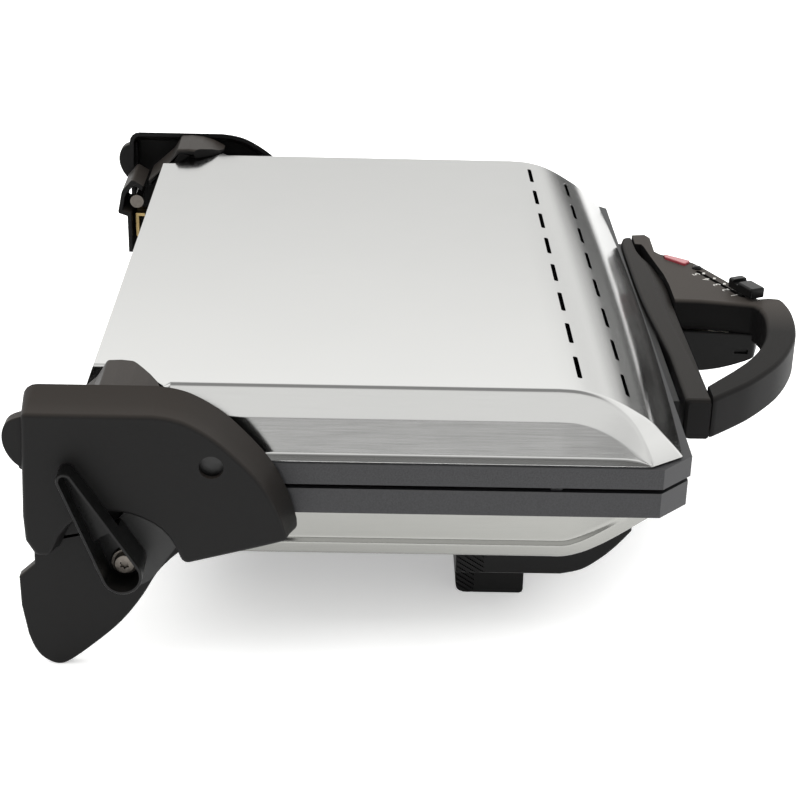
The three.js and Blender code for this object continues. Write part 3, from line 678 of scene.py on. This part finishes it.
def drafted(grow, lift):
    """The arm outline moved outwards by grow, with its top raised and its rear edge drawn in by lift."""
    return [(y - lift * min(1, max(0, (y - 120) / 25)), z + lift * min(1, max(0, (z - 80) / 40)))
            for y, z in shape(ARM_CORNERS, grow)]


def arm_cover(side, name):
    rings = [(ARM_ROOT - 12, drafted(5.4, 3)), (ARM_ROOT, drafted(4.2, 2.4)),
             (ARM_FACE - 8, drafted(1.6, 0.5))]
    rings += [(ARM_FACE - away, shape(ARM_CORNERS, 0.4 - inset)) for away, inset in quarter(ARM_EDGE, 5)]
    inside = [(ARM_ROOT - 14, drafted(3.2, 3.2)), (ARM_ROOT, drafted(1.8, 2.4)),
              (ARM_FACE - 5, shape(ARM_CORNERS, -1.4)), (ARM_FACE - 2.6, shape(ARM_CORNERS, -2.4))]
    shell = loft(name, [(side * h, o) for h, o in rings], "x")
    hollow = loft("hollow", [(side * h, o) for h, o in inside], "x")
    trim = flank("trim", INNER_SIDE, side, 150, ARM_ROOT)
    sweep = pin("sweep", ARM_SWEEP, side, 178, 190.6, HINGE, sides=96)
    notch = pin("notch", ARM_NOTCH, side, 180, 208, HINGE, sides=64)
    hole = pin("hole", 5.2, side, 190, 210, PIVOT)
    boolean(shell, [hollow, trim, sweep, notch, hole])
    boolean(shell, [flank("ear", flow(ARM_EAR, 5), side, 190.8, 198, 0.8, 0.8)], "UNION")
    return shade(shell, 30)


for word, side in SIDES.items():
    finish(arm_cover(side, f"arm_shell_{word}"), "plastic", "arms", f"arm_cover_{word}")


# ---- handle ----
def interpolate(table, x):
    for (x0, y0), (x1, y1) in zip(table, table[1:]):
        if x <= x1:
            return y0 + (y1 - y0) * max(0, x - x0) / (x1 - x0)
    return table[-1][1]


# Lines of the bar seen from above, as X and Y: its rear, the crease along its top, and its front.
BAR_REAR = [(-113, -142.4), (-60, -142.4), (-36, -141), (-12, -139.4), (12, -138.2), (38, -137.7),
            (85, -137.7), (98, -138), (106, -138.6), (110, -139.8), (112, -141.5)]
BAR_CREASE = [(-113, -154.2), (-80, -152.8), (-38, -150.8), (-7, -149.1), (25, -148.1), (58, -148.2),
              (71, -147.4), (82, -145.2), (92, -144.4), (112, -144.4)]
BAR_FRONT = [(-113, -154.6), (17, -154.8), (34, -155.2), (50, -154.4), (61, -152.8), (72, -150.4),
             (82, -146.6), (92, -145.2), (112, -144.9)]
BAR_LEFT = -113
BAR_RIGHT = 112
BAR_TOP = 100.0
BAR_BOTTOM = 80.0


def handle_bar():
    rings = []
    for x in [BAR_LEFT, -112.2, -111, *range(-100, 106, 5), 108, 109.5, 110.7, 111.5, BAR_RIGHT]:
        rear = interpolate(BAR_REAR, x)
        crease = interpolate(BAR_CREASE, x)
        front = interpolate(BAR_FRONT, x)
        drop = min(2.4, (crease - front) * 0.42)
        end = max(0, 1 - min(x - BAR_LEFT, BAR_RIGHT - x) / 2)
        shrink = 1.6 * (1 - math.sqrt(max(0, 1 - end ** 2)))
        back = rear - shrink
        top = BAR_TOP - shrink
        section = [
            (back, BAR_BOTTOM + 1.5), (back, top - 1.6), (back - 0.25, top - 0.8), (back - 0.8, top - 0.25),
            (back - 1.6, top), (crease, top), (front + 0.5, top - drop - 0.1), (front, top - drop - 0.8),
            (front, BAR_BOTTOM + 1), (front + 1, BAR_BOTTOM), (back - 1.5, BAR_BOTTOM),
        ]
        rings.append((x, section))
    return shade(loft("handle_grip", rings, "x"), 12)


finish(handle_bar(), "grip", "lid", "handle_bar")

BOW_OUTER = [(12, -213.6), (0, -214.6), (-18, -213.2), (-35, -209.8), (-50, -204.4), (-63.2, -198.2),
             (-75.3, -190.7), (-91.9, -177.8), (-103.5, -166.2), (-112.4, -156.5)]
OPENING = [(-5, -198.8), (-14.6, -198.3), (-28.1, -196.1), (-38.7, -193.3), (-51.7, -188), (-64.5, -180.8),
           (-77.1, -171.6), (-88.2, -162.5), (-98.5, -154)]
OPENING_END = -158.5  # behind this Y the opening's curve runs into the bar
PANEL_TOP = 101.0
PANEL_SEAM = 84.8
PANEL_FOOT = 61.5
SKIN = 2.6  # of the panel's top
LENS = [(78.8, -158.6), (68.6, -172.2), (63.2, -168.2), (73.2, -158.9)]
READY_AT = (59.6, -174.6)


def bow_outline():
    bow = flow(BOW_OUTER, 5)
    panel = rounded([
        (112.3, -145.2, 0), (112.9, -153, 0), (108, -155.2, 0), (88, -154.8, 0), (82.8, -157.7, 0),
        (69.5, -174.6, 4), (63, -178.4, 0), (16.6, -200.6, 0), (17.8, -206, 0), (16.8, -212.2, 0),
        (12, -213.6, 0)], 4)
    along_bar = [(-112.4, -156.5), (-112.9, -155.1), (-60, -155.1), (34, -155.5), (50, -154.7),
                 (66.3, -152.6), (77.4, -151.3), (93.6, -149.5), (97, -148.6), (97.4, -145.2)]
    return panel[:-1] + bow[:-1] + along_bar


def opening_outline():
    curve = [p for p in flow(OPENING, 5) if p[1] < OPENING_END]
    return curve + rounded([(-99.3, -153.5, 0), (-99.3, -140, 0), (12.4, -140, 0), (11, -169, 0),
                            (6, -196, 3), (1, -198.4, 2)], 4)


def along_scale(along, outward):
    c = math.cos(SCALE_ANGLE)
    s = math.sin(SCALE_ANGLE)
    return (SCALE_START[0] + along * c + outward * s, SCALE_START[1] + along * s - outward * c)


def scale_outline(start, end, inner, outer, radius=0.0):
    corners = [(start, inner), (end, inner), (end, outer), (start, outer)]
    return rounded([(*along_scale(*corner), radius) for corner in corners], 3)


BOW_SEAM = -156.2  # Y behind which the bow meets the bar, and its edges stay nearly sharp
SOFTEST = 4.0  # full width of the rounding; each kind of edge gets a share of it
SHARES = {"seam": 0.06, "foot": 0.5, "rest": 0.55}


def round_edges(piece, angle):
    """Rounds the sharp edges: a little at the seam, more round the foot of the bow and elsewhere."""
    bm = bmesh.new()
    bm.from_mesh(piece.data)
    layer = bm.edges.layers.float.new("bevel_weight_edge")
    foot = [point(x, y, BAR_BOTTOM) for x, y in flow(BOW_OUTER, 5)]
    for edge in bm.edges:
        if len(edge.link_faces) == 2 and math.degrees(edge.calc_face_angle(0)) > angle:
            if all(v.co.y > BOW_SEAM * MM + MID_Y for v in edge.verts):
                edge[layer] = SHARES["seam"]
            elif all(min((v.co - f).length for f in foot) < 1 * MM for v in edge.verts):
                edge[layer] = SHARES["foot"]
            else:
                edge[layer] = SHARES["rest"]
    bm.to_mesh(piece.data)
    bm.free()
    mod = piece.modifiers.new("bevel", "BEVEL")
    mod.limit_method = "WEIGHT"
    mod.width = SOFTEST * MM
    mod.segments = 5
    mod.use_clamp_overlap = False
    bake(piece)


def handle_bow():
    body = prism("handle_loop", bow_outline(), BAR_BOTTOM, PANEL_TOP, "z")
    below = BAR_BOTTOM - 5
    above = PANEL_TOP + 5
    boolean(body, [prism("opening", opening_outline(), below, above, "z")])
    round_edges(body, 40)
    bay = [(14, -157), (80, -157), (66, -173.4), (61, -175.6), (18, -196)]
    rest = [(9, -155), (83, -155), (68.2, -174.4), (62.4, -177.6), (16.2, -203.4), (5.2, -199.4)]
    boolean(body, [
        prism("bay", bay, below, PANEL_TOP - SKIN, "z"), prism("rest", rest, below, PANEL_SEAM, "z"),
        prism("track", scale_outline(7.5, 49.5, -8.6, -6.2, 1), below, above, "z"),
        prism("seat", offset(LENS, 0.25), PANEL_TOP - 4, above, "z"),
        prism("ready_seat", circle(READY_AT, 2.9, 24), PANEL_TOP - 4, above, "z")])
    return shade(body, 32)


finish(handle_bow(), "bow", "lid", "handle_bow")


PANEL_CORNERS = [(8.2, -154.8, 1), (82.6, -154.8, 2), (68, -174.4, 3), (62.4, -177.4, 2), (16, -202.6, 2),
                 (4.6, -198.9, 3)]
PANEL_BELLY = [(-156, 62), (-170, 62.6), (-179, 64), (-187, 66.4), (-195, 69.6), (-203, 74)]
PANEL_WINDOW = [(-195.5, 76, 0.5), (-188.3, 76, 0.5), (-188.3, 73.4, 0.5), (-195.5, 73.4, 0.5)]


def panel_shell():
    body = loft("panel_shell", [
        (PANEL_FOOT, shape(PANEL_CORNERS, -1.2)), (PANEL_FOOT + 1, shape(PANEL_CORNERS, -0.4)),
        (PANEL_SEAM - 0.7, shape(PANEL_CORNERS)), (PANEL_SEAM - 0.3, shape(PANEL_CORNERS, -0.3))], "z")
    hollow = prism("hollow", shape(PANEL_CORNERS, -2.4), PANEL_FOOT + 8, PANEL_TOP, "z")
    belly = prism("belly", [(-140, 40), (-140, 62)] + flow(PANEL_BELLY, 4) + [(-203, 40)], 0, 100, "x")
    window = prism("window", rounded(PANEL_WINDOW, 2), 0, 7, "x")
    boolean(body, [belly, hollow, window])
    return shade(body, 30)


finish(panel_shell(), "black", "lid", "control_panel_shell")


def red_lens():
    outline = rounded([(a, b, 0.8) for a, b in LENS], 3)
    return shade(prism("red_window", outline, 97.6, PANEL_TOP + 1.3, "z", 0, 0.5), 32)


finish(red_lens(), "lens", "lid", "indicator_lens")


def ready_lens():
    rings = [(97.1, circle(READY_AT, 2.5, 28))]
    for k in range(7):
        turn = math.pi / 2 * k / 7
        dome = circle(READY_AT, 2.6 * math.cos(turn) + 0.02, 28)
        rings.append((PANEL_TOP + 0.3 + 1.2 * math.sin(turn), dome))
    return shade(loft("ready_window", rings, "z"), 32)


finish(ready_lens(), "gloss", "lid", "ready_lens")


def slider():
    def block(name, start, end, inner, outer, radius, low, high, soft_low=0.0, soft_high=0.0):
        outline = scale_outline(SLIDER_MIDDLE + start, SLIDER_MIDDLE + end, inner, outer, radius)
        return prism(name, outline, low, high, "z", soft_low, soft_high)

    top = PANEL_TOP
    cap = block("slider_cap", -SLIDER_HALF, SLIDER_HALF, -8.4, 0.6, 1.4, top + 1.6, top + 7, 0.4, 1.2)
    skirt = block("skirt", -3, 3, -8.2, -1, 0.5, top + 0.4, top + 3)
    stem = block("stem", -2.5, 2.5, -8.2, -6.6, 0, 92, top + 1)
    boolean(cap, [skirt, stem], "UNION")
    boolean(cap, [block("dish", 1.5, 6, -12, 3, 0.8, top + 5.3, top + 9)])
    return shade(cap, 32)


finish(slider(), "gloss", "temperature_slider", "temperature_slider")


PRINT = 0.06  # thickness of the printed digits


def digit(text, x, y):
    curve = bpy.data.curves.new("digit", "FONT")
    curve.body = text
    curve.size = 6 * MM
    curve.extrude = PRINT * MM
    curve.align_x = "CENTER"
    curve.align_y = "CENTER"
    piece = add(f"scale_number_{text}", curve)
    turned = Matrix.Rotation(SCALE_ANGLE, 4, "Z")
    piece.matrix_world = Matrix.Translation(point(x, y, PANEL_TOP + PRINT)) @ turned
    return as_mesh(piece)


DIGITS = [("1", 19.8, -188.4), ("2", 27.5, -185.1), ("3", 34.8, -181.5), ("4", 42.7, -177.4),
          ("5", 50.2, -172.8)]
for text, x, y in DIGITS:
    finish(digit(text, x, y), "print", "lid")
    mark = [(x + 1.6 + a, y - 4.2 + b) for a, b in ((-1.1, 0.9), (-1.3, -0.6), (1.0, -1.0), (1.2, 0.3))]
    finish(prism(f"scale_mark_{text}", mark, PANEL_TOP, PANEL_TOP + 0.12, "z"), "print", "lid")


# ---- base, feet and stands ----
STAND_HUB = 22


def rear_stand(side, name):
    outline = rounded([(149.2, 71, 3), (149.7, 50.9, 1), (156.8, 44.4, 1.2), (156.6, 30, 0),
                       (154.4, 15.6, 0)], 3)
    outline += flow([(154.4, 15.6), (152, 8.4), (148.2, 3), (141.8, 0.0), (135.6, 2.4), (123.6, 12.2),
                     (112.7, 22.7), (103.7, 34.9), (96.7, 47), (90.4, 54.4)], 4)[1:]
    outline += [round_hinge(degrees, STAND_HUB) for degrees in range(180, 50, -10)]
    outline += [(134, 76.5)]
    blade = flank(name, outline, side, ARM_ROOT + 0.2, 190, 0.5, 1.1)
    boolean(blade, [pin("boss", 15, side, 175.6, ARM_ROOT + 1, HINGE, soft=0.6)], "UNION")
    boolean(blade, [pin("bore", 5.3, side, 170, 195, HINGE)])
    return shade(blade, 30)


def groove(side, near, far, y, z, run, drop):
    """A slanting cut in an end face, from y and z back by run and down by drop."""
    outline = [(y, z), (y - run, z - drop), (y - run, z - drop - 1.2), (y, z - 1.2)]
    return flank("groove", outline, side, near, far)


def foot(side, name):
    outline = [(-37.5, 20.6), (-38, 6)] + flow([(-38, 6), (-38.9, 1.8), (-42, 0)], 4)[1:] + [(-69, 0)]
    outline += flow([(-69, 0), (-70.3, 0.6), (-70.8, 2)], 3)[1:]
    outline += flow([(-70.8, 11), (-71.5, 15.5), (-73.8, 18.9), (-78, 20.6)], 5)
    body = flank(name, outline, side, 84, 122, 0.8, 0.8)
    boolean(body, [groove(side, 121.3, 123, -36.6, 2 + 2.6 * i, 10.4, 7) for i in range(9)])
    return shade(body, 30)


for word, side in SIDES.items():
    finish(rear_stand(side, f"fin_{word}"), "plastic", "base", f"rear_stand_{word}")
    finish(foot(side, f"foot_{word}"), "black", "base", f"front_foot_{word}")


def front_stand():
    lower = flow([(-86, 21), (-96, 23.6), (-105, 30), (-112, 37), (-118, 44.5)], 5)
    upper = flow([(-118, 64.2), (-107, 56.8), (-98, 51.8), (-90, 48.2), (-82, 46.4)], 5)
    outline = [(-36.8, 46.3), (-36.8, 21)] + lower + upper
    body = prism("stand_front", outline, -140, 140, "x", 1.4, 1.4)
    boolean(body, [prism("hollow", [(-82, 24.5), (-40, 24.5), (-40, 60), (-82, 60)], -136, 136, "x")])
    boolean(body, [groove(side, 139.4, 141, -36, 24 + 2.6 * i, 14, 9)
                   for side in SIDES.values() for i in range(11)])
    return shade(body, 30)


finish(front_stand(), "black", "base", "front_stand")


def bottom_cover():
    outer = [(-127.5, 46.6, 0), (-127.5, 34, 4), (-121, 28, 4), (121, 28, 4), (127.5, 34, 4),
             (127.5, 46.6, 0)]
    inner = [(-124.5, 50), (-124.5, 35.5), (-119.5, 31), (119.5, 31), (124.5, 35.5), (124.5, 50)]
    body = prism("belly_pan", rounded(outer, 4), -36.4, 111.5, "y", 0.8, 3)
    cutters = [prism("hollow", inner, -33.4, 108.5, "y")]
    for x in range(-60, 61, 12):
        vent = [(x - 1.5, -10, 1.4), (x + 1.5, -10, 1.4), (x + 1.5, 70, 1.4), (x - 1.5, 70, 1.4)]
        cutters.append(prism("vent", rounded(vent, 3), 20, 36, "z"))
    boolean(body, cutters)
    return shade(body, 30)


finish(bottom_cover(), "black", "base", "bottom_cover")


# ---- levers and hinge hardware ----
LEVER_TIP = (131.2, 102.2)
HUB_RADIUS, HUB_STEPS = 8.7, 18
TIP_RADIUS, TIP_STEPS = 3.6, 9


def teardrop(wall):
    """Outline of a lever round the hinge and round its tip, drawn in by wall."""
    tip = Vector(LEVER_TIP)
    hub = Vector(HINGE)
    big = HUB_RADIUS - wall
    small = TIP_RADIUS - wall
    reach = (tip - hub).length
    heading = math.atan2(tip.y - hub.y, tip.x - hub.x)
    lean = math.acos((big - small) / reach)
    out = []
    for i in range(HUB_STEPS + 1):
        a = heading + lean + (2 * math.pi - 2 * lean) * i / HUB_STEPS
        out.append((hub.x + big * math.cos(a), hub.y + big * math.sin(a)))
    for i in range(TIP_STEPS + 1):
        a = heading - lean + 2 * lean * i / TIP_STEPS
        out.append((tip.x + small * math.cos(a), tip.y + small * math.sin(a)))
    return out


def lever(side, name):
    body = flank(name, teardrop(0), side, 200.6, 211, 0.3, 0.5)
    hub = flank("hub", teardrop(0), side, 194.3, 201)
    boolean(hub, [pin("limit", 19, side, 190, 202, HINGE, sides=64)], "INTERSECT")
    pocket = flank("pocket", teardrop(1.2), side, 202, 215)
    low = flank("low_pocket", teardrop(1.2), side, 196.2, 204)
    boolean(low, [pin("limit", 17, side, 190, 206, HINGE, sides=64)], "INTERSECT")
    boolean(body, [hub], "UNION")
    boolean(body, [pocket, low, pin("bore", 3, side, 190, 200, HINGE)])
    return shade(body, 30)


def lever_screw(side, name):
    """A screw with a star recess in its head, and its shank behind it."""
    seat, top = 198.1, 200.6
    head = flank(name, circle(HINGE, 4.6, 36), side, seat, top, 0, 0.7)
    boolean(head, [pin("shank", 2.4, side, 187, seat + 0.4, HINGE, sides=20)], "UNION")
    star = [(HINGE[0] + reach * math.cos(math.pi * i / 6), HINGE[1] + reach * math.sin(math.pi * i / 6))
            for i, reach in enumerate([1.5, 2.3] * 6)]
    boolean(head, [flank("drive", star, side, top - 1.4, top + 2)])
    return shade(head, 30)


def lever_washer(side, name):
    washer = pin(name, 6, side, 196.5, 197.8, HINGE, soft=0.3)
    boolean(washer, [pin("bore", 2.8, side, 195, 199, HINGE)])
    return shade(washer)


COIL_STEPS = 24
COIL_LENGTH = 4.5  # turns
COIL_RADIUS = 6.4


def counter_spring(side, name):
    coil = []
    last = int(COIL_STEPS * COIL_LENGTH)
    for i in range(last + 1):
        turn = 2 * math.pi * i / COIL_STEPS
        coil.append((side * (154.2 + 10.8 * i / last), HINGE[0] + COIL_RADIUS * math.cos(turn),
                     HINGE[1] + COIL_RADIUS * math.sin(turn)))
    return shade(tube(name, coil, 0.95))


for word, side in SIDES.items():
    finish(lever(side, f"lever_{word}_grip"), "gloss", f"lever_{word}", f"hinge_lever_{word}")
    finish(lever_screw(side, f"lever_screw_{word}"), "dull_steel", "base", f"hinge_screw_{word}")
    finish(lever_washer(side, f"lever_washer_{word}"), "dull_steel", "base", f"hinge_washer_{word}")
    finish(counter_spring(side, f"counter_spring_{word}"), "zinc", "base", f"hinge_spring_{word}")


# ---- rear corners ----
CORNER_PROFILE = [
    (93.4, 127.9, 0.5), (99.6, 131.2, 6), (106, 133.2, 6), (113, 133.9, 6), (119, 133.6, 1.6),
    (123.7, 126, 3), (136.8, 114.4, 1), (136.6, 110.6, 0.5), (121.5, 121.5, 2), (112, 128.6, 2),
    (93.4, 126.8, 0.3),
]
CORNER_PLAN = [(188, 86), (184, 90.5), (168.5, 96), (160.5, 103), (153.6, 109.8), (149, 125), (149, 140),
               (188, 140)]
REAR_BOX = [
    (139.4, 111.5, 0), (146, 115.6, 2), (152.5, 108, 6), (155.2, 94.4, 1.6), (149.6, 92.6, 0.8),
    (149.5, 70, 0), (147, 70, 0), (147, 94.5, 0.5), (152.2, 96.6, 0.8), (150.2, 106, 4), (145, 111.7, 1),
    (140.5, 108.5, 0),
]


def corner_cover(side, name):
    body = flank(name, rounded(CORNER_PROFILE, 3), side, 154, 183.8, 2, 0.4)
    boolean(body, [prism("plan", [(side * x, y) for x, y in CORNER_PLAN], 90, 140, "z")], "INTERSECT")
    bevel(body, 0.7)
    return shade(body, 30)


def rear_box(side, name):
    return shade(flank(name, rounded(REAR_BOX, 4), side, 152, 184, 0.5, 0.5), 30)


for word, side in SIDES.items():
    finish(corner_cover(side, f"corner_shell_{word}"), "plastic", "lid", f"lid_corner_cover_{word}")
    finish(rear_box(side, f"rear_shell_{word}"), "plastic", "arms", f"arm_rear_box_{word}")

# ---- heating elements ----
ELEMENT = [(120, 110), (120, 40), (120, -60), (112, -88), (90, -98), (0, -98), (-90, -98), (-112, -88),
           (-120, -60), (-120, 40), (-112, 66), (-90, 76), (60, 76), (80, 84), (86, 110)]
for name, z, body, node in (("heater_tube_lower", 70.2, "base", "lower_heating_element"),
                            ("heater_tube_upper", 101.7, "lid", "upper_heating_element")):
    path = [(x, y, z) for x, y in flow(ELEMENT, 6)]
    finish(shade(tube(name, path, 3.2, 16)), "element", body, node)

# ---- CAD nodes that stay ----
KEPT = {
    "cast": ["upper_grill_plate", "lower_grill_plate"],
    "black": ["handle_bracket", "cord_gland"],
    "zinc": ["upper_heat_shield", "lower_heat_shield"],
    "ceramic": ["terminal_block", "thermostat"],
    "lens": ["indicator_lamp"],
}
KEPT["zinc"] += [f"{n}_{s}" for n in ("hinge_shaft", "hinge_bracket", "lid_pivot_bracket") for s in SIDES]
KEPT["dull_steel"] = [f"rear_box_screw_{s}" for s in SIDES]
KEPT["dark_steel"] = [f"{n}_{s}" for n in ("steel_arm", "lid_pivot_bolt") for s in SIDES]
KEPT["brass"] = [f"rear_box_bracket_{s}" for s in SIDES]
# Widths of the small bevels on their edges.
SOFT = {"dark_steel": 0.25, "dull_steel": 0.25, "cast": 0.7, "black": 0.6, "zinc": 0.25, "ceramic": 0.5,
        "lens": 0.5, "brass": 0.2}
for look, names in KEPT.items():
    for name in names:
        dress(nodes[name], look)
        bevel(nodes[name], SOFT[look], live=True)

# ---- floor, light and camera ----
floor_mesh = bpy.data.meshes.new("floor")
reach = 30.0
floor_mesh.from_pydata([(-reach, -reach, 0), (reach, -reach, 0), (reach, reach, 0), (-reach, reach, 0)], [],
                       [(0, 1, 2, 3)])
floor = add("floor", floor_mesh)
floor_look = surface("pale_floor", (0.86, 0.86, 0.86), 0.75, grain_scale=60, tone=0.004, rough_span=0.05,
                     bump=0, broad=1.0, broad_tone=0.0, specular=0.1)
floor_shader = floor_look.node_tree.nodes["Principled BSDF"]
floor_shader.inputs["Emission Color"].default_value = (1, 1, 1, 1)
floor_shader.inputs["Emission Strength"].default_value = 0.4
floor_mesh.materials.append(floor_look)

world = bpy.data.worlds.new("studio")
scene.world = world
world.use_nodes = True
tree = world.node_tree
background = tree.nodes["Background"]
background.inputs["Strength"].default_value = 1.0
where = tree.nodes.new("ShaderNodeTexCoord")
split = tree.nodes.new("ShaderNodeSeparateXYZ")
tree.links.new(where.outputs["Generated"], split.inputs["Vector"])


def sky_ramp(levels):
    """Brightness from the horizon, 0, to the zenith, 1."""
    ramp = tree.nodes.new("ShaderNodeValToRGB")
    ramp.color_ramp.elements.remove(ramp.color_ramp.elements[1])
    for i, (at, level) in enumerate(levels):
        stop = ramp.color_ramp.elements[0] if i == 0 else ramp.color_ramp.elements.new(at)
        stop.position = at
        stop.color = (level, level, level * 0.985, 1)
    tree.links.new(split.outputs["Z"], ramp.inputs["Fac"])
    return ramp


ahead = sky_ramp([(0.0, 0.04), (0.085, 0.06), (0.12, 0.9), (0.2, 1.5), (0.30, 1.2), (0.42, 1.58), (0.76, 1.1),
                  (0.90, 0.4), (1.0, 0.35)])
behind = sky_ramp([(0.0, 0.42), (0.10, 0.46), (0.30, 0.9), (0.45, 1.1), (0.80, 1.0), (0.92, 0.4),
                   (1.0, 0.35)])
share = remap(tree.nodes, (-0.25, 0.45))
tree.links.new(split.outputs["X"], share.inputs["Value"])
blend = tree.nodes.new("ShaderNodeMix")
blend.data_type = "RGBA"
tree.links.new(share.outputs["Result"], blend.inputs["Factor"])
tree.links.new(behind.outputs["Color"], blend.inputs["A"])
tree.links.new(ahead.outputs["Color"], blend.inputs["B"])
tree.links.new(blend.outputs["Result"], background.inputs["Color"])


def softbox(name, at, size, power):
    light = bpy.data.lights.new(name, "AREA")
    light.shape = "RECTANGLE"
    light.size, light.size_y = size
    light.energy = power
    lamp = add(name, light)
    lamp.location = at
    aim = Vector((0, 0, 0.08)) - Vector(at)
    lamp.rotation_euler = aim.to_track_quat("-Z", "Y").to_euler()
    lamp.visible_glossy = False


softbox("front_softbox", (0.2, -1.9, 1.9), (2.4, 1.4), 30)
softbox("rear_softbox", (0.2, 2.0, 1.7), (2.4, 1.4), 24)
softbox("top_softbox", (0, 0, 2.6), (3.2, 3.2), 60)

# Fitted to the photographed corners, arms and feet.
CAMERA_AT = (-893.7, 8.28, 455.9)
CAMERA_AHEAD = (0.90857, -0.02047, -0.41723)
CAMERA_YAW = math.radians(-1.29)
CAMERA_ROLL = 0.027
camera_data = bpy.data.cameras.new("camera")
camera_data.lens = 83.25
camera_data.sensor_width = 36
camera_data.clip_end = 50
camera = add("camera", camera_data)
forward = Vector(CAMERA_AHEAD).normalized()
right = Vector((math.sin(CAMERA_YAW), -math.cos(CAMERA_YAW), 0))
up = right.cross(forward)
c = math.cos(CAMERA_ROLL)
s = math.sin(CAMERA_ROLL)
right, up = right * c + up * s, up * c - right * s
turn = Matrix((right, up, -forward)).transposed().to_4x4()
camera.matrix_world = Matrix.Translation(point(*CAMERA_AT)) @ turn
scene.camera = camera
scene.view_settings.view_transform = "Standard"
